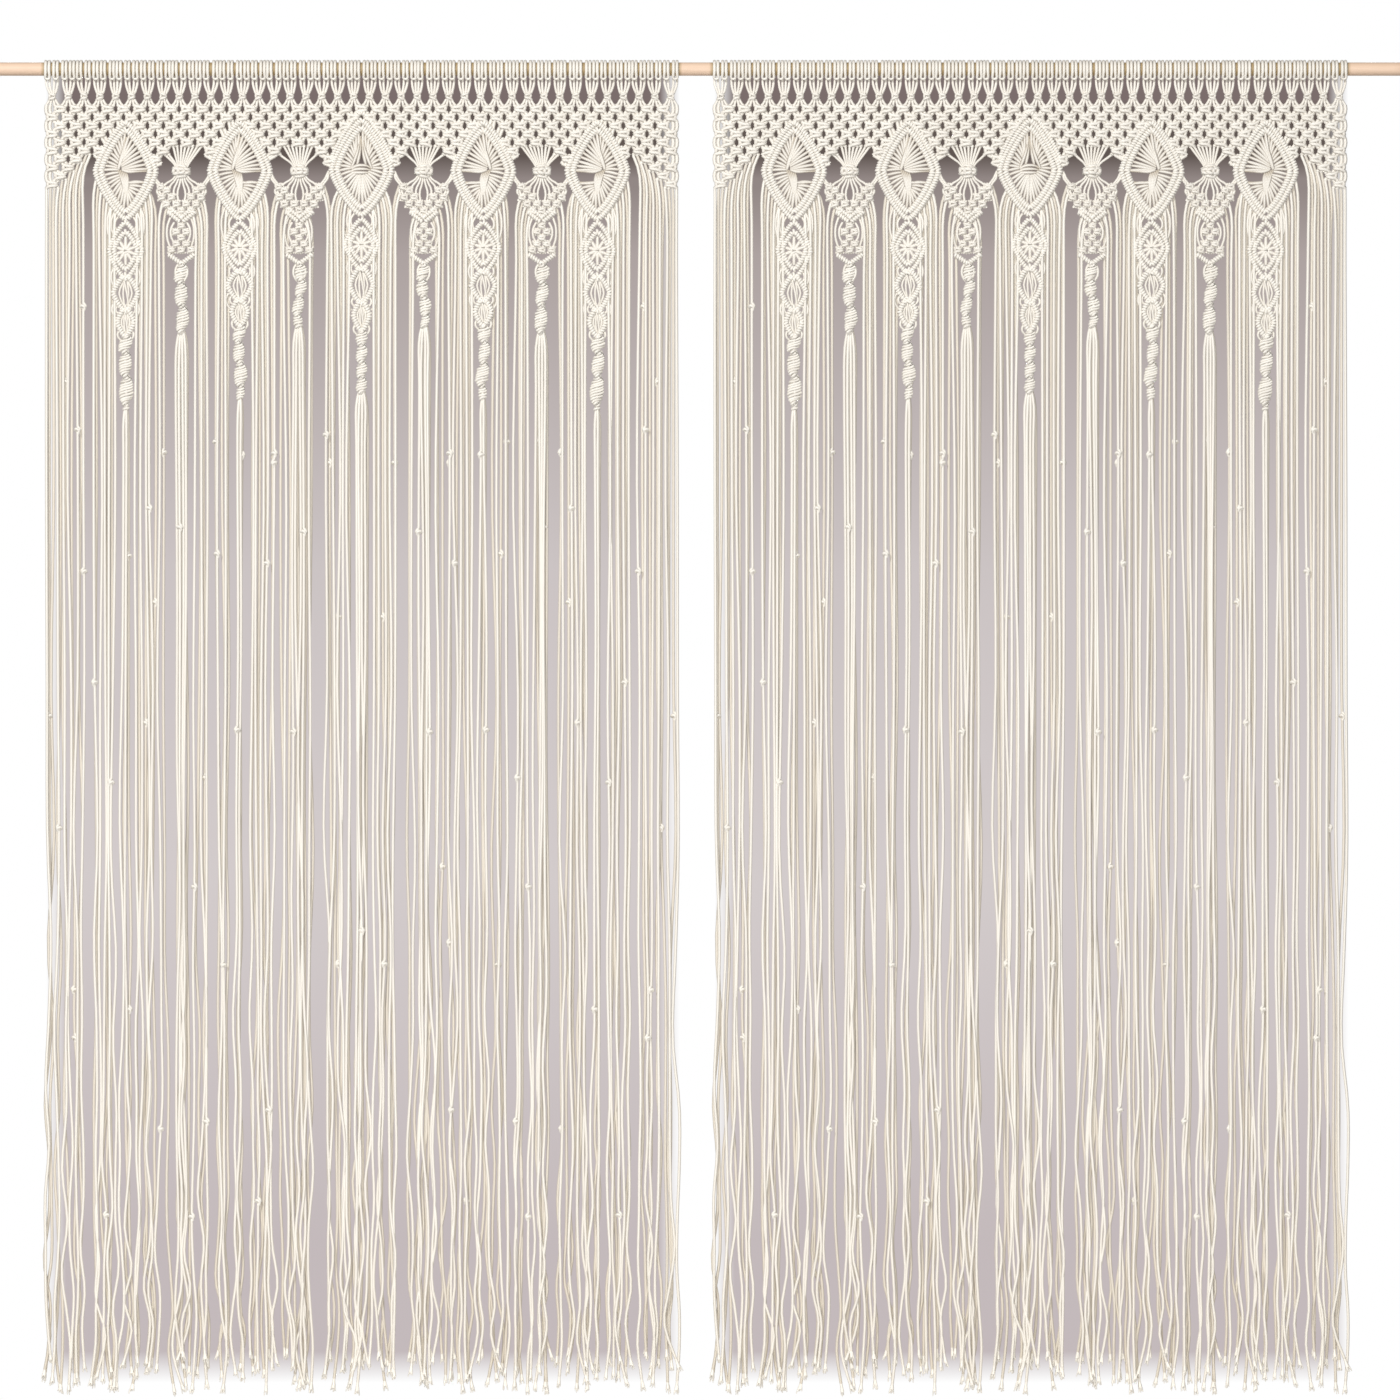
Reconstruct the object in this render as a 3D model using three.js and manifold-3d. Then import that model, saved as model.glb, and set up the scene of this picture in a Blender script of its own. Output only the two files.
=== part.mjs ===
// A pair of macrame curtains of knotted cotton cord, side by side on one wooden rod.
// Units are millimetres and +Z is up. The origin lies on the rod's axis, midway between the curtains.
// +X runs along the rod, to the right of someone who faces the curtains, and their front faces -Y.
// On a curtain, "across" is outward from its centre line and "drop" is down from the rod's axis.
import * as THREE from 'three';
import { mergeVertices } from 'three/addons/utils/BufferGeometryUtils.js';
import Module from 'manifold-3d';

const wasm = await Module();
wasm.setup();

// Rod
const ROD_RADIUS = 10.5;
const ROD_LENGTH = 2260;
const ROD_SIDES = 16;

// Curtains on the rod
const CURTAIN_PITCH = 1054;
const CURTAIN_HALF_WIDTH = 500;
const CORD = 4;
const PIECE_GAP = 0.3;
const MERGE_DISTANCE = 1e-4;

// Columns of the net, and the loops round the rod, each the lark's head knots of two columns
const COLUMN_PITCH = 25;
const COLUMNS = 40;
const LOOP_PITCH = 2 * COLUMN_PITCH;
const LOOP_WIDTH = 43;
const LOOP_SIDES = 8;
const LOOP_BORE_SIDES = 6;

// Depth of each layer of knotting, from the front face to the back face along Y
const NET = { front: -4, back: 3 };
const BAR = { front: -8, back: 3 };
const SPOKES = { front: -2, back: 2 };
const BOSS = { front: -8, back: 2 };
const ROUNDS = { front: -4.5, back: 3 };
const BRAID_AXIS_DEPTH = -1;

// Openings between the columns under the rod: the upper point, the widest place and the lower point
const COLUMN_OPENING = { top: 17, widest: 41, half: 8, bottom: 56 };
const NET_TOP = 12.5;

// Lower edge of the heading from its side to its centre, in runs that each carry a row of strands
const EDGE_RUNS = [
  { name: 'side', points: [[495, 184], [471, 184], [458, 168], [437, 143]] },
  { name: 'outer_diamond', points: [[422.5, 164], [402, 209], [380, 240]] },
  { name: 'outer_valley', points: [[364, 240], [330, 191], [291, 247]] },
  { name: 'middle_valley', points: [[277, 247], [233, 191], [200, 240]] },
  { name: 'inner_valley', points: [[184, 240], [149, 191], [105, 247]] },
  { name: 'centre_valley', points: [[91, 247], [50, 191], [8, 232]] },
];
const SIDE_SLOT_TOP = [[430, 139], [422.5, 150]];

// Diamonds of double half hitch bars round a fan of spokes
const DIAMONDS = [
  { across: 0, drop: 152, half: 50.5, rise: 80, slit: false },
  { across: 192, drop: 161, half: 50.5, rise: 78, slit: true },
  { across: 372, drop: 161, half: 50.5, rise: 78, slit: true },
];
const DIAMOND_BAR_WIDTH = 17;
const SPOKES_TUCK = 1;
const NET_TUCK = 3;
const DIAMOND_BULGE = 0.58;
const SLIT = { near: 4, far: 33, above: -2, below: 12, taper: 3 };

// Sunbursts between the diamonds: a knot, two fans of cords with slits, side openings and a V bar
const SUNBURSTS = [
  { across: 98, drop: 159 },
  { across: 284, drop: 159 },
];
const SUNBURST_KNOT = { radius: 9, backRadius: 6.3, sides: 6 };
const FAN_SLITS = { angles: [-40, 0, 40], spread: 7, inner: 12, outer: 31 };
const SIDE_OPENING = [[12, 1], [20, -11], [33, -13], [39, 1], [37, 17], [31, 23]];
const V_BAR = { reach: 34, top: 38, point: 84, width: 9 };

// Diamond pendants: rounds of crossed cords, then a twisted braid
const ROUND_WAIST_HALF = 8;
const ROUND_OPENING = { inner: 5, rim: 8, rise: 0.28, leastHalf: 20 };
const PENDANT_TOP_HALF = 7;
const BRAID_SIDES = 5;
const BRAID_WAIST = 0.6;
const BRAID_FLATNESS = 0.7;
const PENDANTS = [
  {
    across: 0, top: 232, strands: 2,
    rounds: [{ to: 311, half: 28 }, { to: 366, half: 23 }, { to: 409, half: 16 }],
    beads: [{ to: 435, radius: 8.5 }, { to: 462, radius: 8.5 }, { to: 511, radius: 8.5 }],
  },
  {
    across: 98, top: 247, strands: 4,
    rounds: [],
    beads: [{ to: 275, radius: 18 }, { to: 303, radius: 20 }, { to: 327, radius: 10 },
      { to: 357, radius: 10 }, { to: 384, radius: 10 }, { to: 408, radius: 7 }],
  },
  {
    across: 192, top: 240, strands: 4,
    rounds: [{ to: 309, half: 28 }, { to: 360, half: 24 }, { to: 400, half: 18 }],
    beads: [{ to: 428, radius: 9.5 }, { to: 463, radius: 9.5 }, { to: 498, radius: 11 },
      { to: 522, radius: 6.5 }],
  },
  {
    across: 284, top: 247, strands: 4,
    rounds: [],
    beads: [{ to: 275, radius: 18 }, { to: 303, radius: 21 }, { to: 335, radius: 11 },
      { to: 374, radius: 9 }, { to: 416, radius: 9 }],
  },
  {
    across: 372, top: 240, strands: 4,
    rounds: [{ to: 323, half: 28 }, { to: 375, half: 24.5 }, { to: 417, half: 18 }],
    beads: [{ to: 446, radius: 12 }, { to: 478, radius: 9.5 }, { to: 520, radius: 10.5 },
      { to: 531, radius: 6.5 }],
  },
];

// Hanging strands of each edge run, from the outermost to the innermost
const FRINGES = {
  side: { from: 492, to: 440, count: 7 },
  outer_diamond: { from: 420, to: 404, count: 3 },
  outer_valley: { from: 341, to: 311, count: 5 },
  middle_valley: { from: 257, to: 224, count: 5 },
  inner_valley: { from: 161, to: 126, count: 5 },
  centre_valley: { from: 70, to: 32, count: 6 },
};
const STRIP_WIDTH = 6;
const STRIP = { front: -5.2, back: 5.2 };
const STRAND_DEPTH = 2.7;
const TIP_PITCH = 2.6;
const TIP_ROOT = 10;
const TIP_SPREAD = 7;
const TIP_SPREAD_DROP = 170;

// Heights at which a strand bends, as a part of its length, with its sway there across and in depth
const STRAND_BENDS = [
  { part: 0.6, wide: 3, fine: 1.5, depth: 0.5 },
  { part: 0.85, wide: -6, fine: 5, depth: 3 },
  { part: 1, wide: 9, fine: -4, depth: 6 },
];
const WIDE_WAVE = 310;
const FINE_WAVE = 97;
const STRAND_END = { drop: 2060, spread: 40, steps: 7, stride: 3 };

const cotton = { color: 0xf0e9dc, roughness: 0.92, metalness: 0 };
const paleWood = { color: 0xdeb494, roughness: 0.6, metalness: 0 };

// A three.js geometry as a closed solid that can be joined and cut
function solidOf(geometry) {
  geometry.deleteAttribute('normal');
  geometry.deleteAttribute('uv');
  const merged = mergeVertices(geometry, MERGE_DISTANCE);
  const mesh = new wasm.Mesh({
    numProp: 3,
    vertProperties: new Float32Array(merged.attributes.position.array),
    triVerts: new Uint32Array(merged.index.array),
  });
  return new wasm.Manifold(mesh);
}

// A joined solid as a geometry again, on the other side of the centre line where side is -1
function geometryOf(solid, side = 1) {
  const mesh = solid.getMesh();
  const geometry = new THREE.BufferGeometry();
  geometry.setAttribute('position', new THREE.BufferAttribute(mesh.vertProperties, 3));
  geometry.setIndex(new THREE.BufferAttribute(mesh.triVerts, 1));
  geometry.scale(side, 1, 1);
  if (side < 0) {
    geometry.index.array.reverse();
  }
  geometry.computeVertexNormals();
  return geometry;
}

function join(solids) {
  return solids.reduce((whole, solid) => whole.add(solid));
}

function mirrored(points) {
  return points.map(([across, drop]) => [-across, drop]).reverse();
}

// Both sides of the centre line, of a row or of its place when it is on the line
function bothSides(rows) {
  const far = rows.filter((row) => row.across > 0).map((row) => ({ ...row, side: -1 })).reverse();
  return [...far, ...rows.map((row) => ({ ...row, side: 1 }))];
}

// The depth of a cut that passes right through a layer
function through(layer) {
  return { front: layer.front - CORD, back: layer.back + CORD };
}

// An outline of [across, drop] points as an upright slab between its front and its back
function slab(outline, layer, openings = []) {
  const shape = new THREE.Shape(outline.map(([across, drop]) => new THREE.Vector2(across, -drop)));
  const depth = layer.back - layer.front;
  const geometry = new THREE.ExtrudeGeometry(shape, { depth, bevelEnabled: false });
  geometry.rotateX(Math.PI / 2);
  geometry.translate(0, layer.back, 0);
  const whole = solidOf(geometry);
  if (!openings.length) {
    return whole;
  }
  return whole.subtract(join(openings.map((points) => slab(points, through(layer)))));
}

// A diamond with sides that bow outward
function lozenge(across, drop, half, rise) {
  const corners = [[0, -1], [1, 0], [0, 1], [-1, 0]];
  return corners.flatMap(([x, z], i) => {
    const [nextX, nextZ] = corners[(i + 1) % corners.length];
    const bowX = (x + nextX) * DIAMOND_BULGE;
    const bowZ = (z + nextZ) * DIAMOND_BULGE;
    return [
      [across + x * half, drop + z * rise],
      [across + bowX * half, drop + bowZ * rise],
    ];
  });
}

// Lark's heads side by side: a band round the rod, clear of it by the piece gap
function rodLoop(across) {
  const polygon = (apothem, sides) => Array.from({ length: sides }, (_, i) => {
    const angle = ((i + 0.5) * 2 * Math.PI) / sides;
    const radius = apothem / Math.cos(Math.PI / sides);
    return new THREE.Vector2(Math.cos(angle) * radius, Math.sin(angle) * radius);
  });
  const shape = new THREE.Shape(polygon(ROD_RADIUS + PIECE_GAP + CORD, LOOP_SIDES));
  shape.holes = [new THREE.Path(polygon(ROD_RADIUS + PIECE_GAP, LOOP_BORE_SIDES))];
  const geometry = new THREE.ExtrudeGeometry(shape, { depth: LOOP_WIDTH, bevelEnabled: false });
  geometry.rotateY(Math.PI / 2);
  geometry.translate(across - LOOP_WIDTH / 2, 0, 0);
  return solidOf(geometry);
}

function columnOpening(across) {
  const { top, widest, half, bottom } = COLUMN_OPENING;
  return [[across, top], [across + half, widest], [across, bottom], [across - half, widest]];
}

// Slits between the cords of a sunburst's upper fan, or of its lower fan where up is -1
function fanSlits(sunburst, up) {
  const { angles, spread, inner, outer } = FAN_SLITS;
  const point = (radius, degrees) => {
    const angle = THREE.MathUtils.degToRad(degrees);
    return [sunburst.across + radius * Math.sin(angle), sunburst.drop - up * radius * Math.cos(angle)];
  };
  return angles.map((angle) => [
    point(inner, angle), point(outer, angle - spread), point(outer, angle + spread),
  ]);
}

function sideOpenings(sunburst) {
  const right = SIDE_OPENING.map(([across, drop]) => [across, sunburst.drop + drop]);
  return [right, mirrored(right)].map((points) => (
    points.map(([across, drop]) => [sunburst.across + across, drop])
  ));
}

function vBar(sunburst) {
  const { reach, top, point, width } = V_BAR;
  const outline = [[-reach, top], [0, point - width], [reach, top],
    [reach, top + width], [0, point], [-reach, top + width]];
  return slab(outline.map(([x, z]) => [sunburst.across + x, sunburst.drop + z]), BAR);
}

// The space within a diamond's bars, and past their inner edge by a tuck
function innerLozenge(diamond, tuck) {
  const inset = DIAMOND_BAR_WIDTH - tuck;
  return lozenge(diamond.across, diamond.drop, diamond.half - inset,
    diamond.rise - (inset * diamond.rise) / diamond.half);
}

// A diamond's bars with its fan of spokes set back between them
function diamondMotif(diamond) {
  const outer = lozenge(diamond.across, diamond.drop, diamond.half, diamond.rise);
  const bars = slab(outer, BAR, [innerLozenge(diamond, 0)]);
  const spokes = slab(innerLozenge(diamond, SPOKES_TUCK), SPOKES);
  const whole = bars.add(spokes);
  if (!diamond.slit) {
    return whole;
  }
  const { near, far, above, below, taper } = SLIT;
  const slit = [[near, above + taper], [far, above], [far, below], [near, below - taper]];
  const inward = slit.map(([x, z]) => [diamond.across - diamond.side * x, diamond.drop + z]);
  return whole.subtract(slab(inward, through(BAR)));
}

function sunburstKnot(sunburst) {
  const { radius, backRadius, sides } = SUNBURST_KNOT;
  const knot = new THREE.CylinderGeometry(backRadius, radius, BOSS.back - BOSS.front, sides);
  knot.translate(sunburst.across, (BOSS.front + BOSS.back) / 2, -sunburst.drop);
  return solidOf(knot);
}

// The knotted top of one curtain, from the loops on the rod to the diamonds and V bars
function heading() {
  const diamonds = bothSides(DIAMONDS).map((row) => ({ ...row, across: row.across * row.side }));
  const sunbursts = bothSides(SUNBURSTS).map((row) => ({ ...row, across: row.across * row.side }));
  const spaced = (count, pitch) => (
    Array.from({ length: count }, (_, i) => (i - (count - 1) / 2) * pitch)
  );
  const [side, ...others] = EDGE_RUNS.map((run) => run.points);
  const edge = [...side, ...SIDE_SLOT_TOP, ...others.flat()];
  const outline = [[CURTAIN_HALF_WIDTH, NET_TOP], ...edge, ...mirrored(edge),
    [-CURTAIN_HALF_WIDTH, NET_TOP]];
  const openings = [
    ...spaced(COLUMNS - 1, COLUMN_PITCH).map(columnOpening),
    ...sunbursts.flatMap((row) => [...fanSlits(row, 1), ...fanSlits(row, -1), ...sideOpenings(row)]),
    ...diamonds.map((row) => innerLozenge(row, NET_TUCK)),
  ];
  return join([
    slab(outline, NET, openings),
    ...diamonds.map(diamondMotif),
    ...sunbursts.map(sunburstKnot),
    ...sunbursts.map(vBar),
    ...spaced((COLUMNS * COLUMN_PITCH) / LOOP_PITCH, LOOP_PITCH).map(rodLoop),
  ]);
}

// Height of a strand's end, which differs from one strand to the next
function endDrop(index) {
  const { drop, spread, steps, stride } = STRAND_END;
  return drop + spread * (((index * stride) % steps) / (steps - 1) * 2 - 1);
}

// A three-sided cord from its root to its end, swaying more the lower it hangs
function strand({ across, drop, index, spreadTo = across }) {
  const layer = index % 2 === 0 ? -1 : 1;
  const end = endDrop(index);
  const stations = STRAND_BENDS.map(({ part, wide, fine, depth }) => {
    const sway = wide * Math.sin((spreadTo / WIDE_WAVE) * 2 * Math.PI)
      + layer * fine * Math.sin((spreadTo / FINE_WAVE) * 2 * Math.PI);
    return {
      x: spreadTo + sway,
      y: layer * (STRAND_DEPTH + depth),
      z: -(drop + (end - drop) * part),
    };
  }).reverse();
  if (spreadTo !== across) {
    stations.pop();
    stations.push({ x: spreadTo, y: layer * STRAND_DEPTH, z: -(drop + TIP_SPREAD_DROP) });
  }
  stations.push({ x: across, y: layer * STRAND_DEPTH, z: -drop });
  const radius = CORD / Math.sqrt(3);
  const corners = [90, 210, 330].map((degrees) => {
    const angle = THREE.MathUtils.degToRad(degrees);
    return new THREE.Vector2(radius * Math.cos(angle), layer * radius * Math.sin(angle));
  });
  const steps = stations.length - 1;
  const geometry = new THREE.ExtrudeGeometry(new THREE.Shape(corners),
    { depth: steps, steps, bevelEnabled: false });
  const position = geometry.attributes.position;
  for (let i = 0; i < position.count; i += 1) {
    const station = stations[Math.round(position.getZ(i))];
    position.setXYZ(i, position.getX(i) + station.x, position.getY(i) + station.y, station.z);
  }
  return solidOf(geometry);
}

// A run of points moved square to itself, downward for a positive distance
function shifted(points, distance) {
  const normals = points.slice(1).map(([across, drop], i) => {
    const [fromAcross, fromDrop] = points[i];
    const run = new THREE.Vector2(across - fromAcross, drop - fromDrop).normalize();
    return new THREE.Vector2(run.y, -run.x);
  });
  return points.map(([across, drop], i) => {
    const before = normals[Math.max(i - 1, 0)];
    const after = normals[Math.min(i, normals.length - 1)];
    const middle = before.clone().add(after).normalize();
    const reach = distance / middle.dot(before);
    return [across + middle.x * reach, drop + middle.y * reach];
  });
}

function dropAt(points, across) {
  const i = points.slice(1).findIndex(([next]) => across >= next);
  const [a, b] = [points[i], points[i + 1]];
  return a[1] + ((b[1] - a[1]) * (a[0] - across)) / (a[0] - b[0]);
}

// A narrow strip under one run of the heading's edge, with the run's strands fused to it
function fringe(run, firstIndex) {
  const { from, to, count } = FRINGES[run.name];
  const upper = shifted(run.points, PIECE_GAP);
  const lower = shifted(run.points, PIECE_GAP + STRIP_WIDTH);
  const middle = shifted(run.points, PIECE_GAP + STRIP_WIDTH / 2);
  const strands = Array.from({ length: count }, (_, i) => {
    const across = from + ((to - from) * i) / (count - 1);
    return strand({ across, drop: dropAt(middle, across), index: firstIndex + i });
  });
  return join([slab([...upper, ...lower.reverse()], STRIP), ...strands]);
}

// The rounds of a pendant as one plate, with an opening on either side of each round's centre
function roundsPlate(pendant) {
  const tops = [pendant.top + PIECE_GAP, ...pendant.rounds.map((round) => round.to)];
  const edge = [[PENDANT_TOP_HALF, tops[0]]];
  const openings = [];
  pendant.rounds.forEach((round, i) => {
    const middle = (tops[i] + round.to) / 2;
    edge.push([round.half, middle], [ROUND_WAIST_HALF, round.to]);
    if (round.half < ROUND_OPENING.leastHalf) {
      return;
    }
    const rise = (round.to - tops[i]) * ROUND_OPENING.rise;
    const opening = [[ROUND_OPENING.inner, middle - rise], [round.half - ROUND_OPENING.rim, middle],
      [ROUND_OPENING.inner, middle + rise]];
    openings.push(opening, mirrored(opening));
  });
  const moved = (points) => points.map(([across, drop]) => [across + pendant.across, drop]);
  return slab(moved([...edge, ...mirrored(edge)]), ROUNDS, openings.map(moved));
}

// The twisted braid as a chain of bulges, turned round its own axis
function braid(pendant) {
  const start = pendant.rounds.length ? pendant.rounds.at(-1).to - CORD : pendant.top + PIECE_GAP;
  const profile = [new THREE.Vector2(0, -start)];
  let from = start;
  let waist = PENDANT_TOP_HALF;
  for (const bead of pendant.beads) {
    const middle = (from + bead.to) / 2;
    profile.push(new THREE.Vector2(waist, -from), new THREE.Vector2(bead.radius, -middle));
    from = bead.to;
    waist = bead.radius * BRAID_WAIST;
  }
  profile.push(new THREE.Vector2(waist, -from), new THREE.Vector2(0, -from));
  const geometry = new THREE.LatheGeometry(profile.reverse(), BRAID_SIDES, Math.PI / BRAID_SIDES);
  geometry.rotateX(Math.PI / 2);
  geometry.scale(1, BRAID_FLATNESS, 1);
  geometry.translate(pendant.across, BRAID_AXIS_DEPTH, 0);
  return solidOf(geometry);
}

// A pendant with the strands that hang from its tip
function pendantPiece(pendant) {
  const tip = pendant.beads.at(-1).to;
  const count = pendant.strands;
  const strands = Array.from({ length: count }, (_, i) => {
    const place = i - (count - 1) / 2;
    return strand({
      across: pendant.across + place * TIP_PITCH,
      spreadTo: pendant.across + place * TIP_SPREAD,
      drop: tip - TIP_ROOT,
      index: i + Math.round(pendant.across),
    });
  });
  const plates = pendant.rounds.length ? [roundsPlate(pendant)] : [];
  return join([...plates, braid(pendant), ...strands]);
}

function named(name, geometry, finish) {
  const mesh = new THREE.Mesh(geometry, new THREE.MeshStandardMaterial(finish));
  mesh.name = name;
  return mesh;
}

// One curtain as its heading, its pendants and its fringes, numbered from left to right
function curtain(name) {
  const group = new THREE.Group();
  const place = (piece, geometry) => group.add(named(`${name}_${piece}`, geometry, cotton));
  place('heading', geometryOf(heading()));
  bothSides(PENDANTS).forEach((row, i) => {
    place(`pendant_${i + 1}`, geometryOf(pendantPiece(row), row.side));
  });
  let strandCount = 0;
  EDGE_RUNS.forEach((run, i) => {
    const piece = fringe(run, strandCount);
    strandCount += FRINGES[run.name].count;
    place(`fringe_${i + 1}`, geometryOf(piece, -1));
    place(`fringe_${2 * EDGE_RUNS.length - i}`, geometryOf(piece));
  });
  return group;
}

function rod() {
  const geometry = new THREE.CylinderGeometry(ROD_RADIUS, ROD_RADIUS, ROD_LENGTH, ROD_SIDES);
  geometry.rotateZ(Math.PI / 2);
  return named('rod', geometry, paleWood);
}

const curtains = new THREE.Group();
curtains.add(rod());
for (const [name, side] of [['left', -1], ['right', 1]]) {
  const one = curtain(name);
  one.position.x = (side * CURTAIN_PITCH) / 2;
  curtains.add(one);
}

export default curtains;
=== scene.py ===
import math

import bpy
import numpy as np
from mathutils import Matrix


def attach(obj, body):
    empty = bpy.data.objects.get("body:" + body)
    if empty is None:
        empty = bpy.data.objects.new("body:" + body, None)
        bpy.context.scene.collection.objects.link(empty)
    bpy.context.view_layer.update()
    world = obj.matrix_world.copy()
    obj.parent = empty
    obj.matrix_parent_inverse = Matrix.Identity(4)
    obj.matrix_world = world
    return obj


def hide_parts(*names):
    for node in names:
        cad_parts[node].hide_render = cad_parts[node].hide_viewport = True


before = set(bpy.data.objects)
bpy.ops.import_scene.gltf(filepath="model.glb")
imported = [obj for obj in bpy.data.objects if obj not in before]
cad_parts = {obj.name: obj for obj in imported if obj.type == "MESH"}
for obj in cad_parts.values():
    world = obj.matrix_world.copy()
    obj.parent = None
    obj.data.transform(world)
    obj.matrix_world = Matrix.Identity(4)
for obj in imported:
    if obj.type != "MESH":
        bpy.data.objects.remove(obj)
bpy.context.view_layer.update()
scene = bpy.context.scene

# Studio: a long lens straight in front, with a round lamp behind it, another above at the left and two
# weak ones behind the curtains. The backdrop, far behind, is a glowing white sheet with a painted mauve
# shadow behind each curtain that is deepest at the heading. A pale floor lies under the hems.
CAMERA_PLACE = (0.0067, -12.0, -0.995)
SENSOR_WIDTH = 36.0
PHOTO_WIDTH = 2.208
FLOOR_HEIGHT = -2.165
FLOOR_HALF = 1.95
FLOOR_FRONT, FLOOR_BACK = -1.3, 0.5
BACKDROP_DEPTH = 5.0
BACKDROP_HALF = 2.06
BACKDROP_LOW, BACKDROP_HIGH = -3.4, 0.9
WHITE = (1, 1, 1, 1)
PAINTED_SHADOW_MIDDLE, PAINTED_SHADOW_HALF, PAINTED_SHADOW_BLUR = 0.747, 0.708, 0.045
PAINTED_SHADOW_TOP, PAINTED_SHADOW_BOTTOM = (0.427, 0.41), (-2.52, -2.45)
# The heights between which each tone of the painted shadow sets in, and its colour
PAINTED_SHADOW_TONES = [
    ((0.427, 0.41), (0.20, 0.155, 0.15, 1)),
    ((0.345, 0.32), (0.12, 0.095, 0.085, 1)),
    ((0.22, 0.17), (0.29, 0.245, 0.235, 1)),
    ((0.15, 0.0), (0.42, 0.365, 0.355, 1)),
    ((0.0, -0.7), (0.60, 0.55, 0.55, 1)),
    ((-0.7, -1.4), (0.65, 0.60, 0.60, 1)),
    ((-1.4, -2.2), (0.55, 0.49, 0.50, 1)),
]
SKY_COLOUR = (0.83, 0.825, 0.84, 1)
SKY_STRENGTH = 0.30
LAMP_AIM = (0.0, 0.0, -1.0)
LAMPS = [
    {"name": "lamp_front", "place": (0.0067, -12.1, -0.995), "aim": (0.0067, 0.0, -0.995), "size": 0.8,
     "power": 900},
    {"name": "lamp_upper_left", "place": (-3.5, -8.0, 5.0), "aim": LAMP_AIM, "size": 0.9, "power": 690},
    {"name": "lamp_back_left", "place": (-1.9, 4.3, 0.9), "aim": LAMP_AIM, "size": 1.4, "power": 120},
    {"name": "lamp_back_right", "place": (1.9, 4.3, 0.9), "aim": LAMP_AIM, "size": 1.4, "power": 120},
]


class Value:
    """One output of a material's node. An expression on values adds its Math nodes."""

    def __init__(self, finish, socket):
        self.finish = finish
        self.socket = socket

    def output(self, name):
        return Value(self.finish, self.socket.node.outputs[name])

    def __add__(self, other):
        return self.finish.maths("ADD", self, other)

    def __radd__(self, other):
        return self.finish.maths("ADD", other, self)

    def __sub__(self, other):
        return self.finish.maths("SUBTRACT", self, other)

    def __rsub__(self, other):
        return self.finish.maths("SUBTRACT", other, self)

    def __mul__(self, other):
        return self.finish.maths("MULTIPLY", self, other)

    def __rmul__(self, other):
        return self.finish.maths("MULTIPLY", other, self)

    def __pow__(self, other):
        return self.finish.maths("POWER", self, other)


class Finish:
    """A material with its shader, and the nodes that are added to it."""

    def __init__(self, name, **shader):
        self.material = bpy.data.materials.new(name)
        self.material.use_nodes = True
        self.tree = self.material.node_tree
        self.shader = self.tree.nodes["Principled BSDF"]
        self.feed(self.shader, {key.replace("_", " "): value for key, value in shader.items()})

    def feed(self, node, sockets):
        for key, value in sockets.items():
            if isinstance(value, Value):
                self.tree.links.new(value.socket, node.inputs[key])
            else:
                node.inputs[key].default_value = value

    def node(self, kind, settings=None, sockets=None, output=0):
        made = self.tree.nodes.new(kind)
        for key, value in (settings or {}).items():
            setattr(made, key, value)
        self.feed(made, sockets or {})
        return Value(self, made.outputs[output])

    def maths(self, operation, a, b=0.0):
        return self.node("ShaderNodeMath", {"operation": operation}, {0: a, 1: b})

    def ramp(self, value, start, end):
        """0 up to the start and 1 from the end on."""
        return self.node("ShaderNodeMapRange", {}, {0: value, 1: start, 2: end})

    def mix(self, factor, a, b):
        """Colour a where the factor is 0 and colour b where it is 1."""
        return self.node("ShaderNodeMix", {"data_type": "RGBA"}, {0: factor, 6: a, 7: b}, output=2)


def stage_plane(name, half, near, far, finish):
    """A sheet between two level edges, each at a (depth, height)."""
    mesh = bpy.data.meshes.new(name)
    corners = [(-half, *near), (half, *near), (half, *far), (-half, *far)]
    mesh.from_pydata(corners, [], [(0, 1, 2, 3)])
    mesh.materials.append(finish.material)
    plane = bpy.data.objects.new(name, mesh)
    scene.collection.objects.link(plane)


def hang_lamp(name, place, aim, size, power):
    """A round lamp that the camera doesn't see, turned to the place that it is aimed at."""
    light = bpy.data.lights.new(name, "AREA")
    light.shape = "DISK"
    light.size = size
    light.energy = power
    lamp = bpy.data.objects.new(name, light)
    lamp.location = place
    x, y, z = (there - here for there, here in zip(aim, place))
    lamp.rotation_euler = (math.atan2(math.hypot(x, y), -z), 0, math.atan2(y, x) - math.pi / 2)
    lamp.visible_camera = False
    scene.collection.objects.link(lamp)


camera = bpy.data.objects.new("camera", bpy.data.cameras.new("camera"))
camera.data.sensor_width = SENSOR_WIDTH
camera.data.lens = SENSOR_WIDTH * -CAMERA_PLACE[1] / PHOTO_WIDTH
camera.location = CAMERA_PLACE
camera.rotation_euler = (math.pi / 2, 0, 0)
scene.collection.objects.link(camera)
scene.camera = camera
scene.view_settings.view_transform = "Standard"

paper = Finish("backdrop_with_painted_shadow", Roughness=1.0, Base_Color=(0, 0, 0, 1), Specular_IOR_Level=0.0,
               Emission_Strength=1.0)
on_paper = paper.node("ShaderNodeSeparateXYZ", {}, {
    "Vector": paper.node("ShaderNodeTexCoord", output="Object")})
paper_across, paper_height = on_paper.output("X"), on_paper.output("Z")
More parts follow.
